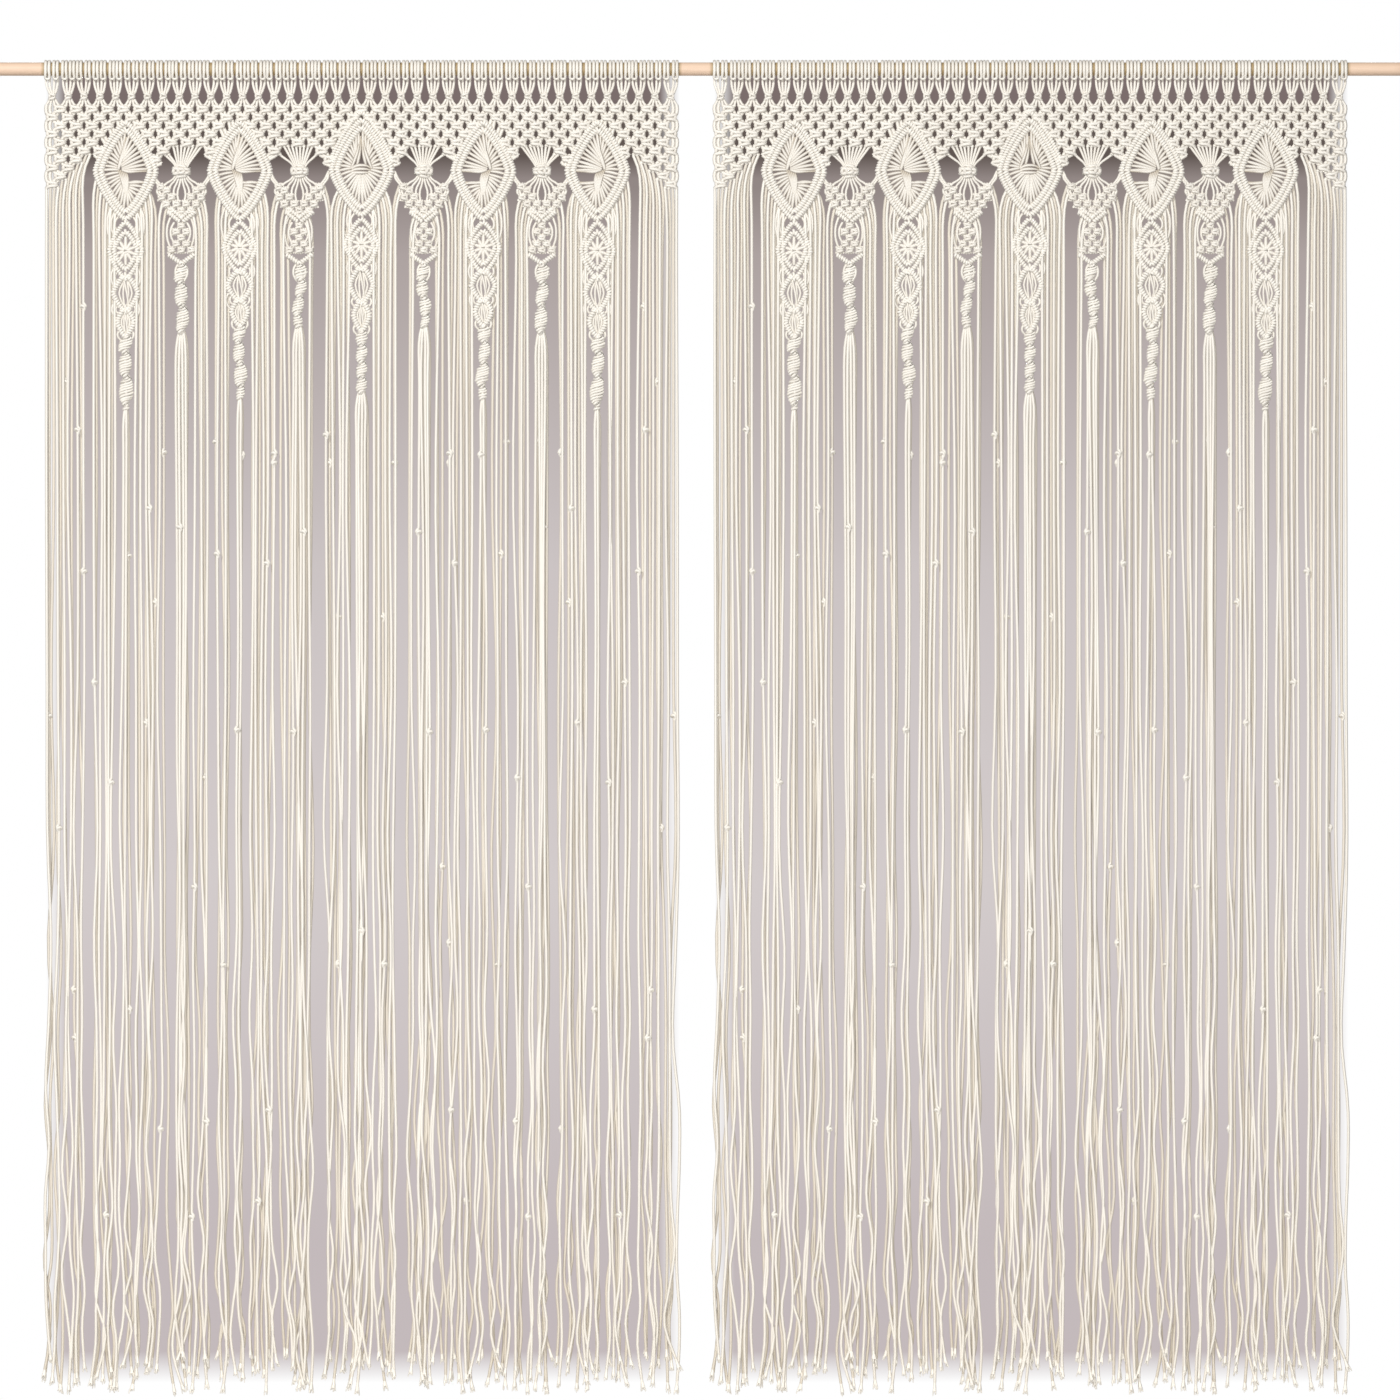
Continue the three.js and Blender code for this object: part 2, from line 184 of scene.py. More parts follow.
# Painted shadow: the glowing sheet is mauve behind each curtain, darkest behind the heading, in place of
# the curtain's shadow
off_middle = paper.maths("ABSOLUTE", paper.maths("ABSOLUTE", paper_across) - PAINTED_SHADOW_MIDDLE)
behind = paper.ramp(off_middle, PAINTED_SHADOW_HALF, PAINTED_SHADOW_HALF - PAINTED_SHADOW_BLUR)
behind = behind * paper.ramp(paper_height, *PAINTED_SHADOW_TOP)
behind = behind * paper.ramp(paper_height, *PAINTED_SHADOW_BOTTOM)
shadow_tone = WHITE
for heights, colour in PAINTED_SHADOW_TONES:
    shadow_tone = paper.mix(paper.ramp(paper_height, *heights), shadow_tone, colour)
paper.feed(paper.shader, {"Emission Color": paper.mix(behind, WHITE, shadow_tone)})
stage_plane("backdrop", BACKDROP_HALF, (BACKDROP_DEPTH, BACKDROP_LOW), (BACKDROP_DEPTH, BACKDROP_HIGH),
            paper)
floor_paint = Finish("floor_paint", Roughness=0.9, Base_Color=(0.8, 0.79, 0.785, 1))
stage_plane("floor", FLOOR_HALF, (FLOOR_FRONT, FLOOR_HEIGHT), (FLOOR_BACK, FLOOR_HEIGHT), floor_paint)

world = bpy.data.worlds.new("studio")
world.use_nodes = True
sky = world.node_tree.nodes["Background"]
sky.inputs["Color"].default_value = SKY_COLOUR
sky.inputs["Strength"].default_value = SKY_STRENGTH
scene.world = world
for lamp in LAMPS:
    hang_lamp(**lamp)

# Rod: one plain round pole of pale wood that both curtains hang on. It is turned and sanded, so its
# grain runs along it and shows as faint darker streaks, and painted shade darkens it where the cords are
# on it.
MM = 0.001
ROD_RADIUS = 10.5
ROD_HALF_LENGTH = 1130
ROD_SIDES = 40
ROD_EASE = 1.2
CURTAIN_PITCH = 1054
ON_CURTAIN = (0.506, 0.5)
PALE_WOOD = (0.76, 0.57, 0.43, 1)
STREAKED_WOOD = (0.62, 0.44, 0.31, 1)
PORE_BROWN = (0.42, 0.27, 0.16, 1)
SHADED_WOOD = (0.34, 0.245, 0.12, 1)
GRAIN_SCALE = (2.2, 90.0, 90.0)
PORE_SCALE = (40.0, 1100.0, 1100.0)
PLY_SPACING = 4.7
TWIST_START = 60
TINY = 1e-9


def ways_round(paths, sides):
    """The ways from each point of a path to the corners of a ring round it. Each ring is turned as
    little as it can be from the ring before."""
    along = np.gradient(paths, axis=1)
    along /= np.maximum(np.linalg.norm(along, axis=2, keepdims=True), TINY)
    start = np.where(np.abs(along[:, 0, 1:2]) > 0.85, [[1.0, 0.0, 0.0]], [[0.0, -1.0, 0.0]])
    side = np.empty_like(along)
    for i in range(paths.shape[1]):
        start = start - np.sum(start * along[:, i], axis=1, keepdims=True) * along[:, i]
        start /= np.maximum(np.linalg.norm(start, axis=1, keepdims=True), TINY)
        side[:, i] = start
    across = np.cross(along, side)
    turn = np.arange(sides) * 2 * math.pi / sides
    return np.cos(turn)[:, None] * side[:, :, None] + np.sin(turn)[:, None] * across[:, :, None]


class Cords:
    """Round pieces laid along paths and joined into one mesh, in millimetres from its middle. Each
    point has a shade, from ivory to beige, which is partly the cord's own tone and partly painted shade,
    and an edge, a painted shade which is deepest at a cord's sides."""

    def __init__(self, seed=1):
        self.random = np.random.default_rng(seed)
        self.points = []
        self.quads = []
        self.wraps = []
        self.shades = []
        self.edges = []
        self.caps = []
        self.count = 0

    def lay(self, paths, radius, shade=0.0, sides=5, widen=(1.0, 1.0, 1.0), twisted=True, edge=1.0):
        """Tubes round paths shaped (cords, points, 3). The radius and the shade may vary along them. The
        edge scales the painted shade at their sides.
        """
        paths = np.asarray(paths, float)
        cords, count, _ = paths.shape
        if twisted:
            run = np.cumsum(np.linalg.norm(np.diff(paths, axis=1), axis=2), axis=1)
            run = np.concatenate([np.zeros((cords, 1)), run], axis=1)
            run += self.random.uniform(0, TWIST_START, (cords, 1))
        else:
            run = np.full((cords, count), PLY_SPACING / 2)
        ways = ways_round(paths, sides)
        thickness = np.broadcast_to(np.asarray(radius, float), (cords, count))
        ring = ways * thickness[:, :, None, None] * np.asarray(widen, float)
        self.points.append((paths[:, :, None] + ring).reshape(-1, 3))
        here = np.arange(sides)
        ahead = (here + 1) % sides
        low = self.count + np.arange(cords)[:, None, None] * count * sides
        low = low + np.arange(count - 1)[None, :, None] * sides
        quads = np.stack([low + here, low + ahead, low + sides + ahead, low + sides + here], axis=-1)
        self.quads.append(quads.reshape(-1, 4))
        corners = []
        for across, up in ((0, 0), (1, 0), (1, 1), (0, 1)):
            corner = np.broadcast_arrays((here + across) / sides, run[:, up:count - 1 + up, None])
            corners.append(np.stack(corner, axis=-1))
        self.wraps.append(np.stack(corners, axis=3).reshape(-1, 2))
        shade = np.broadcast_to(np.asarray(shade, float), (cords, count))
        self.shades.append(np.repeat(shade.reshape(-1), sides))
        # Painted shade at the sides: darkest where a ring's way is square to the depth, as though lit
        # from the front
        self.edges.append(edge * (1 - np.abs(ways[..., 1]).reshape(-1)) ** 1.3)
        self.count += cords * count * sides

    def cap(self, rings, sides):
        """Flat ends: each ring is the first point of a ring of the last tube."""
        self.caps += [list(range(first, first + sides)) for first in rings]

    def mesh(self, name, finish):
        made = bpy.data.meshes.new(name)
        quads = np.concatenate(self.quads)
        made.from_pydata(np.concatenate(self.points) * MM, [], quads.tolist() + self.caps)
        ends = np.zeros((sum(len(cap) for cap in self.caps), 2))
        made.uv_layers.new(name="cord").data.foreach_set(
            "uv", np.concatenate(self.wraps + [ends]).ravel())
        for attribute, values in (("shade", self.shades), ("edge", self.edges)):
            made.attributes.new(attribute, "FLOAT", "POINT").data.foreach_set(
                "value", np.concatenate(values))
        made.polygons.foreach_set("use_smooth", np.arange(len(made.polygons)) < len(quads))
        made.materials.append(finish.material)
        made.update()
        return made


def hang(name, mesh, node, across=0.0):
    """Puts a piece in its place on the rod, in the place of a node of the frame."""
    piece = bpy.data.objects.new(name, mesh)
    piece.location.x = across * MM
    scene.collection.objects.link(piece)
    bpy.context.view_layer.update()
    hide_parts(node)
    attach(piece, "root")


rod_wood = Finish("rod_wood", Roughness=0.55)
in_wood = rod_wood.node("ShaderNodeTexCoord", output="Object")
along_grain = rod_wood.node("ShaderNodeMapping", {}, {"Vector": in_wood, "Scale": GRAIN_SCALE})
grain = rod_wood.node("ShaderNodeTexNoise", {}, {
    "Vector": along_grain, "Scale": 1.0, "Detail": 5.0, "Roughness": 0.6})
along_pores = rod_wood.node("ShaderNodeMapping", {}, {"Vector": in_wood, "Scale": PORE_SCALE})
pores = rod_wood.node("ShaderNodeTexNoise", {}, {"Vector": along_pores, "Scale": 1.0, "Detail": 2.0})
wood = rod_wood.mix(grain, PALE_WOOD, STREAKED_WOOD)
wood = rod_wood.mix(pores ** 3.0 * 0.5, wood, PORE_BROWN)
along_rod = rod_wood.node("ShaderNodeSeparateXYZ", {}, {"Vector": in_wood}).output("X")
# Painted shade: the wood is darker along each curtain's span, where the cords shade it
off_curtain = rod_wood.maths("ABSOLUTE", rod_wood.maths("ABSOLUTE", along_rod) - CURTAIN_PITCH / 2 * MM)
rod_wood.feed(rod_wood.shader, {
    "Base Color": rod_wood.mix(rod_wood.ramp(off_curtain, *ON_CURTAIN), wood, SHADED_WOOD),
    "Roughness": 0.48 + 0.2 * grain,
    "Normal": rod_wood.node("ShaderNodeBump", {}, {
        "Strength": 0.25, "Distance": 0.0004, "Height": pores}),
})
pole = Cords()
stations = np.concatenate([[-ROD_HALF_LENGTH, ROD_EASE - ROD_HALF_LENGTH], np.linspace(-1100, 1100, 9),
                           [ROD_HALF_LENGTH - ROD_EASE, ROD_HALF_LENGTH]])
radii = np.full(len(stations), ROD_RADIUS)
radii[[0, -1]] -= ROD_EASE
pole.lay(np.stack([stations, stations * 0, stations * 0], axis=1)[None], radii, sides=ROD_SIDES)
pole.cap([0, (len(stations) - 1) * ROD_SIDES], ROD_SIDES)
hang("rod_pole", pole.mesh("rod_pole", rod_wood), "rod")

# Lark's heads: eighty cords of twisted ivory cotton on each curtain, each folded in two over the rod
# with its ends pulled through the fold, so a short bar shows under the rod and two legs hang from
# behind it. Two heads share a column, whose four legs meet in the first square knot.
COLUMN_PITCH = 25.0
COLUMNS = 40
HEAD_OFFSET, HEAD_SLACK = 6.25, 1.3
HEAD_POINTS, HEAD_SIDES = 38, 6
LEG_SPLIT = 2.75
FIRST_ROW = 43.0
FIRST_KNOT_WIDTH, FIRST_KNOT_HEIGHT = 0.56, 1.0
CORD_RADIUS = 2.2
KNOT_HALF_HEIGHT = 6.6
LINK_OUTER, LINK_INNER = 9.3, 3.2
IVORY = (0.83, 0.80, 0.735, 1)
BEIGE = (0.52, 0.455, 0.355, 1)
GROOVE_SHADE = (0.34, 0.28, 0.21, 1)
FIBRE_WHITE = (1, 0.985, 0.94, 1)
SIDE_SHADE = (0.26, 0.21, 0.16, 1)
SIDE_SHADE_DEPTH = 0.6
PLIES = 3.0

cotton = Finish("cotton_cord", Roughness=0.93, Specular_IOR_Level=0.25, Sheen_Weight=0.15,
                Sheen_Roughness=0.5)
wrap = cotton.node("ShaderNodeSeparateXYZ", {}, {
    "Vector": cotton.node("ShaderNodeUVMap", {"uv_map": "cord"})})
turn, run = wrap.output("X"), wrap.output("Y")
ply = cotton.maths("ABSOLUTE", cotton.maths("SINE", (turn * PLIES - run * (1 / PLY_SPACING)) * math.pi))
on_cord = cotton.node("ShaderNodeCombineXYZ", {}, {"X": turn * 9.0 + run * 0.5, "Y": run * 0.35})
fibres = cotton.node("ShaderNodeTexNoise", {}, {"Vector": on_cord, "Scale": 1.6, "Detail": 3.0})
patches = cotton.node("ShaderNodeTexNoise", {}, {
    "Vector": cotton.node("ShaderNodeTexCoord", output="Object"), "Scale": 14.0, "Detail": 2.0})
shade = cotton.node("ShaderNodeAttribute", {"attribute_name": "shade"}, output=2)
edge = cotton.node("ShaderNodeAttribute", {"attribute_name": "edge"}, output=2)
# Painted shade: the shade attribute turns cords in shade beige, the ply's grooves are painted darker and
# the edge attribute paints each cord's sides dark; the patches and fibres are the cotton's own tone
tone = cotton.mix(shade, IVORY, BEIGE)
tone = cotton.mix(patches * 0.16, tone, BEIGE)
tone = cotton.mix((1.0 - ply) ** 2.0 * 0.26, tone, GROOVE_SHADE)
tone = cotton.mix(fibres * 0.12, tone, FIBRE_WHITE)
cotton.feed(cotton.shader, {
    "Base Color": cotton.mix(edge * SIDE_SHADE_DEPTH, tone, SIDE_SHADE),
    "Normal": cotton.node("ShaderNodeBump", {}, {
        "Strength": 0.45, "Distance": 0.0005, "Height": ply * 0.75 + fibres * 0.35}),
})


def smooth(control, count):
    """Paths of count points that pass smoothly through control points, for one or several cords."""
    control = np.asarray(control, float)
    last = control.shape[-2] - 1
    place = np.linspace(0, last, count)
    before = np.minimum(place.astype(int), last - 1)
    f = place - before
    weights = np.zeros((count, last + 1))
    terms = (-f / 2 + f**2 - f**3 / 2, 1 - 2.5 * f**2 + 1.5 * f**3,
             f / 2 + 2 * f**2 - 1.5 * f**3, f**3 / 2 - f**2 / 2)
    for step, term in zip((-1, 0, 1, 2), terms):
        np.add.at(weights, (np.arange(count), np.clip(before + step, 0, last)), term)
    return weights @ control


def hang_pair(part, cords, node):
    """The same piece on both curtains."""
    mesh = cords.mesh(part, cotton)
    for name, side in (("left", -1), ("right", 1)):
        hang(f"{name}_{part}", mesh, f"{name}_{node}", side * CURTAIN_PITCH / 2)


def head_leg(middle, leg, hung):
    """One leg of a head, from its column's knot up behind the rod, over it and down to the bar."""
    on_rod = middle + leg * LEG_SPLIT
    return [
        (hung, 0.0, KNOT_HALF_HEIGHT * FIRST_KNOT_HEIGHT - FIRST_ROW),
        (on_rod * 0.45 + hung * 0.55, -1.0, -31.5), (on_rod * 0.85 + hung * 0.15, -1.2, -25.5),
        (on_rod, -0.6, -19.5), (on_rod, 4.0, -13.5), (on_rod, 10.4, -8.0), (on_rod, 12.9, 0.5),
        (on_rod, 8.8, 9.4), (on_rod, 0.0, 12.8), (on_rod, -8.8, 9.4), (on_rod, -12.8, 1.0),
        (on_rod, -11.6, -7.0), (middle + leg * 3.6, -8.4, -12.6), (middle + leg * 2.6, -7.2, -15.6),
    ]


loops = Cords(seed=3)
columns = (np.arange(COLUMNS) - (COLUMNS - 1) / 2) * COLUMN_PITCH
heads = []
for column in columns:
    for side in (-1, 1):
        middle = column + side * HEAD_OFFSET + loops.random.uniform(-HEAD_SLACK, HEAD_SLACK)
        legs = []
        for leg in (-1, 1):
            link = LINK_OUTER if leg == side else LINK_INNER
            legs.append(head_leg(middle, leg, column + side * FIRST_KNOT_WIDTH * link))
        heads.append(legs[0] + [(middle, -7.0, -16.2)] + legs[1][::-1])
paths = smooth(heads, HEAD_POINTS)
spread = 1 + 0.22 * np.clip((paths[..., 2:3] + 14) / 8, 0, 1)
widen = np.concatenate([spread, np.ones_like(spread), np.ones_like(spread)], axis=2)[:, :, None]
loops.lay(paths, CORD_RADIUS, loops.random.uniform(0, 0.18, (len(heads), 1)), HEAD_SIDES, widen)
hang_pair("loops", loops, "heading")

# Net: rows of square knots, each of four cords, tied between the columns of the row above, so the
# knots alternate and leave small openings. The net stops at the diamonds, over the sunbursts and
# along a slope at either side.
NET_ROWS = 10
ROW_ONE = 63.1
ROW_PITCH = 13.2
NET_RADIUS = 3.05
NET_LOW = 146.0
SIDE_FROM, SIDE_LOW = 415.0, 180.0
SLOPE_END, SLOPE_ACROSS, SLOPE_FALL = 183.5, 487.5, 1.056
SIDE_CORDS_FROM = 423.0
BORDER_ACROSS, BORDER_BOW = 493.75, 1.0
ARCH_CLEAR = 41.0
FAN_REACH, FAN_RISE = 31.0, 25.0
BEHIND_BAR = 0.84
DIAMONDS = [
    {"across": 0.0, "drop": 160.0, "half": 50.5, "up": 83.0, "down": 74.0, "slit": False},
    {"across": 192.0, "drop": 161.5, "half": 50.5, "up": 81.0, "down": 79.0, "slit": True},
    {"across": 372.0, "drop": 161.5, "half": 50.5, "up": 81.0, "down": 79.0, "slit": True},
]
DIAMOND_BOW = 1.27
INSET_RISE = 1.28
SUNBURSTS = [(98.0, 161.0), (284.0, 161.0)]


def knot_route(upper, middle):
    """A cord's route through a knot, which is the same below the knot's middle as above it."""
    return np.array(upper + [middle] + [(x, y, -z) for x, y, z in reversed(upper)])


KNOT_WORKER = knot_route([(-9.3, 0.0, 6.6), (-8.7, -1.0, 5.0), (-5.0, -3.4, 3.6), (0.2, -4.4, 2.7),
                          (4.4, -4.0, 2.2), (6.8, -2.4, 1.5)], (7.3, -0.6, 0.0))
KNOT_SLING = knot_route([(9.3, 0.0, 6.6), (8.7, -0.2, 5.0), (4.2, 2.4, 4.0), (-2.5, 3.2, 2.8),
                         (-6.2, 1.4, 2.8), (-7.6, -2.4, 1.6)], (-7.0, -4.4, 0.0))
KNOT_CORE = knot_route([(-3.2, 0.2, 6.6), (-2.2, -1.8, 5.0)], (-2.0, -0.4, 0.0))
KNOT_CORDS = [(KNOT_WORKER, 14, (1,)), (KNOT_SLING, 14, (1,)), (KNOT_CORE, 5, (1, -1))]


def square_knots(cords, places, width=1.0, height=1.0, radius=CORD_RADIUS, forward=0.0, tucked=True):
    """Square knots centred on (across, drop) places and brought forward. The ends of a knot that
    isn't tied to others are tucked in behind it."""
    places = np.asarray(places, float)
    lean = np.where(places[:, 0] > 0, -1.0, 1.0)[:, None]
    centre = np.stack([places[:, 0], places[:, 0] * 0 - forward, -places[:, 1]], axis=1)[:, None]
    tones = cords.random.uniform(0, 0.12, (len(places), 1))
    for route, count, flips in KNOT_CORDS:
        for flip in flips:
            control = np.repeat(route[None], len(places), axis=0) * (flip * width, 1, height)
            control[:, :, 0] *= lean
            if tucked:
                control[:, [1, -2]] = control[:, [1, -2]] * (0.9, 1, 0.85) + (0, 1.8, 0)
                control[:, [0, -1]] = control[:, [1, -2]] * (0.55, 1, 0.7) + (0, 3.2, 0)
            slack = cords.random.normal(0, 0.3, control.shape)
            slack[:, [0, -1]] = 0
            cords.lay(smooth(control + slack + centre, count), radius, tones)


def within(diamond, across, drop):
    """Below 1 inside a diamond, 1 on its edge and above 1 outside it."""
    rise = diamond["up"] if drop < diamond["drop"] else diamond["down"]
    return (abs((across - diamond["across"]) / diamond["half"]) ** DIAMOND_BOW
            + abs((drop - diamond["drop"]) / rise) ** DIAMOND_BOW)


def nearest_diamond(across, drop):
    return min(DIAMONDS, key=lambda diamond: within(diamond, across, drop))


def behind_bar(across, drop):
    """The place just inside the nearest diamond's edge, on the straight line to its middle."""
    diamond = nearest_diamond(across, drop)
    share = (BEHIND_BAR / within(diamond, across, drop)) ** (1 / DIAMOND_BOW)
    return (diamond["across"] + (across - diamond["across"]) * share,
            diamond["drop"] + (drop - diamond["drop"]) * share)


def in_arch(sunburst, across, drop):
    return math.hypot(across - sunburst[0], drop - sunburst[1]) < ARCH_CLEAR


def in_net(across, drop):
    across = abs(across)
    if across > SIDE_FROM:
        return drop < SLOPE_END - (SLOPE_ACROSS - across) * SLOPE_FALL
    in_diamond = any(within(diamond, across, drop) <= 1 for diamond in DIAMONDS)
    over_sunburst = any(in_arch(sunburst, across, drop) for sunburst in SUNBURSTS)
    return drop < NET_LOW and not in_diamond and not over_sunburst


def net_step(across, drop):
    """A net knot's number along its row, in half columns, and the number of its row."""
    return round(across * 2), round((drop - ROW_ONE) / ROW_PITCH)


net = Cords(seed=5)
between_columns = (np.arange(COLUMNS - 1) - (COLUMNS - 2) / 2) * COLUMN_PITCH
rows = [[(x, ROW_ONE + ROW_PITCH * row) for x in (columns if row % 2 else between_columns)]
        for row in range(NET_ROWS)]
knots = [place for row in rows for place in row if in_net(*place)]
square_knots(net, knots, radius=NET_RADIUS, tucked=False)
square_knots(net, [(x, FIRST_ROW) for x in columns], FIRST_KNOT_WIDTH, FIRST_KNOT_HEIGHT, tucked=False)
tied = {net_step(*knot) for knot in knots}

# The two cords at a knot's side that no lower knot takes up run into a sunburst's fan, hang from the
# curtain's side or end behind a diamond's bar
feeders = []
fan_tops = {sunburst: [] for sunburst in SUNBURSTS}
side_starts = {-1: [], 1: []}
for x, y in knots:
    for side in (-1, 1):
        below = (x + side * COLUMN_PITCH / 2, y + ROW_PITCH)
        past_border = abs(below[0]) > SLOPE_ACROSS and y < SIDE_LOW
        if net_step(*below) in tied or past_border:
            continue
        over = [sunburst for sunburst in SUNBURSTS if in_arch(sunburst, abs(below[0]), below[1])]
        low = y + KNOT_HALF_HEIGHT
        for link in (LINK_OUTER, LINK_INNER):
            start = x + side * link
            out = abs(start)
            if over and y < over[0][1] - FAN_RISE and abs(out - over[0][0]) < FAN_REACH:
                fan_tops[over[0]].append((start, low))
            elif out > SIDE_CORDS_FROM:
                side_starts[1 if x > 0 else -1].append((start, low))
            else:
                end, end_drop = behind_bar(out, low + 4)
                end = math.copysign(end, x)
                halfway = (start * 0.6 + end * 0.4, 0.2, -low * 0.6 - end_drop * 0.4)
                feeders.append([(start, 0.1, -low), halfway, (end, 2.2, -end_drop)])
net.lay(smooth(feeders, 4), NET_RADIUS, 0.08)
under_first_knot = -FIRST_ROW - KNOT_HALF_HEIGHT * FIRST_KNOT_HEIGHT
spreading = [[(x + link * FIRST_KNOT_WIDTH, 0.0, under_first_knot),
              (x + link * 0.75, 0.0, -FIRST_ROW - 9.8), (x + link, 0.0, KNOT_HALF_HEIGHT - ROW_ONE)]
             for x in columns for link in (-LINK_OUTER, -LINK_INNER, LINK_OUTER, LINK_INNER)]
net.lay(smooth(spreading, 5), CORD_RADIUS, 0.05)
borders = [[(side * (BORDER_ACROSS + bow + beside), 0.0, rise - row[0][1])
            for bow, rise in ((0, KNOT_HALF_HEIGHT), (BORDER_BOW, 0), (0, -KNOT_HALF_HEIGHT))]
           for row in rows[::2] for side in (-1, 1) for beside in (-NET_RADIUS, NET_RADIUS)]
net.lay(smooth(borders, 5), NET_RADIUS, 0.05)
hang_pair("net", net, "heading")

# Diamonds: two rows of double half hitches, tied tightly over a pair of carried cords, go round each
# diamond. The cords that they release fan inward as spokes to a smooth heart in the middle, and the
# four outer diamonds have a slit beside it.
HITCH_PITCH = 4.2
HITCH_RADIUS = 2.3
HITCH_SLANT = 0.8
HITCH_ROUTE = [(-1, 1.2), (-1, -1.6), (-0.6, -4.2), (0, -5.0), (0.6, -4.2), (1, -1.6), (1, 1.2)]
HITCH_ROWS = [(2.8, 2.9), (11.6, 3.6)]
CARRIED_RADIUS, CARRIED_DEPTH = 2.6, -0.6
CREST = dict(DIAMONDS[0], half=53.0, up=92.0)
CREST_REACH, CREST_LOW = 2.2, 146.0
SPOKE_INSET = 17.0
SPOKE_PITCH = 7.3
SPOKE_RADII = np.array([1.7, 1.75, 2.05, 2.6, 2.9, 2.9, 2.5, 2.1])
# Painted shade along each spoke, deepest at the rim where the spokes go in under the bars
SPOKE_SHADES = np.array([0.9, 0.8, 0.45, 0.12, 0.0, 0.0, 0.1, 0.3])
SLIT_FROM, SLIT_TO = -26.0, -3.0
# Where the spokes end round a heart: (direction in degrees, across, height)
SLIT_FEET = [(0, -2, 1), (30, -7, 4), (60, -6.5, 12), (85, -4, 24), (97, -5, 31), (120, -9, 18),
             (150, -11, 7), (180, -11, 2.5), (200, -8, -5), (230, -5, -11), (262, -2, -20),
             (275, 3.5, -33), (300, 4.5, -26), (334, 4.5, -16), (360, 4.5, -16)]
PLAIN_FEET = [(-90, 0, -7), (-60, 3, -6), (-30, 8, -3), (-10, 13, 0), (0, 16, 3), (20, 15, 6),
              (45, 13, 12), (65, 10.5, 23), (80, 8.5, 24), (90, 2, 26)]
# The cords of a heart, which lie over the spokes' ends
SLIT_HEART = [
    [(-0.5, -1.8, 54), (-3.5, -3.0, 34), (-8, -3.6, 18), (-12, -2.6, 4)],
    [(1.5, -1.8, 54), (-0.5, -3.0, 34), (-6, -3.8, 18), (-11, -2.6, 3)],
    [(33, -1.8, 0.5), (16, -3.0, -0.4), (4, -3.8, -0.6), (-6, -2.6, 2.5)],
    [(33, -1.8, -17), (18, -2.6, -18), (4.6, -3.0, -17.5), (-2, -2.6, -14)],
] + [
    [(-11.5 + k * 3.0, -1.6, 3.0 - k * 0.8), (-7.5 + k * 2.6, -3.6, -8), (-4.0 + k * 1.9, -3.4, -20),
     (-1.0 + k * 0.8, -2.0, -37)] for k in range(5)
]
PLAIN_HEART = [
    [(way * 1.5, -1.8, 54), (way * 5, -3.2, 34), (way * 10.5, -3.8, 17), (way * 16, -2.2, 4)]
    for way in (-1, 1)
] + [
    [(way * 0.6, -1.4, 50), (way * 2.4, -2.6, 30), (way * 5, -3.0, 17), (way * 7, -1.4, 9)]
    for way in (-1, 1)
] + [
    [(-15.5, -2.0, 3 - k * 3), (-7, -3.9, 7.5 - k * 5.5), (7, -3.9, 7.5 - k * 5.5),
     (15.5, -2.0, 3 - k * 3)] for k in range(3)
]


def inset(diamond, amount):
    """A diamond drawn in by an amount at its sides and in proportion at its points."""
    return dict(diamond, half=diamond["half"] - amount, up=diamond["up"] - amount * INSET_RISE,
                down=diamond["down"] - amount * INSET_RISE)


def rim(diamond, pitch):
    """Places round a diamond's edge, one to a pitch, and the ways out from them."""
    angle = np.linspace(0, 2 * math.pi, 1600)
    rise = np.where(np.sin(angle) > 0, diamond["up"], diamond["down"])
    x = diamond["half"] * np.sign(np.cos(angle)) * np.abs(np.cos(angle)) ** (2 / DIAMOND_BOW)
    z = rise * np.sign(np.sin(angle)) * np.abs(np.sin(angle)) ** (2 / DIAMOND_BOW)
    run = np.concatenate([[0], np.cumsum(np.hypot(np.diff(x), np.diff(z)))])
    count = round(run[-1] / pitch)
    at = (np.arange(count) + 0.5) * run[-1] / count
    places = np.stack([np.interp(at, run, x), np.interp(at, run, z)], axis=1)
    rises = np.where(places[:, 1] > 0, diamond["up"], diamond["down"])
    out = np.sign(places) * np.stack([
        np.abs(places[:, 0] / diamond["half"]) ** (DIAMOND_BOW - 1) / diamond["half"],
        np.abs(places[:, 1] / rises) ** (DIAMOND_BOW - 1) / rises], axis=1)
    out /= np.linalg.norm(out, axis=1, keepdims=True)
    return places + (diamond["across"], -diamond["drop"]), out


def hitches(cords, places, out, reach, forward=0.0):
    """Turns of cord over a carried cord, square to it and close together."""
    lengthwise = np.stack([-out[:, 1], out[:, 0]], axis=1)
    control = []
    for away, depth in HITCH_ROUTE:
        flat = places + out * reach * away + lengthwise * HITCH_SLANT * away
        control.append(np.stack([flat[:, 0], np.full(len(flat), depth - forward), flat[:, 1]], axis=1))
    tones = cords.random.uniform(0, 0.06, (len(places), 1))
    cords.lay(smooth(np.stack(control, axis=1), 8), HITCH_RADIUS, tones, edge=0.4)


def carried(cords, places):
    """The cord that a row of hitches is tied on."""
    core = np.stack([places[:, 0], np.full(len(places), CARRIED_DEPTH), places[:, 1]], axis=1)
    # Painted shade: the carried cord, under the hitches, is a little beige
    cords.lay(core[None], CARRIED_RADIUS, 0.3)


def hitch_ring(cords, diamond, reach, forward=0.0):
    """One row of hitches all round a diamond."""
    places, out = rim(diamond, HITCH_PITCH)
    hitches(cords, places, out, reach, forward)
    carried(cords, np.concatenate([places, places[:1]])[::2])


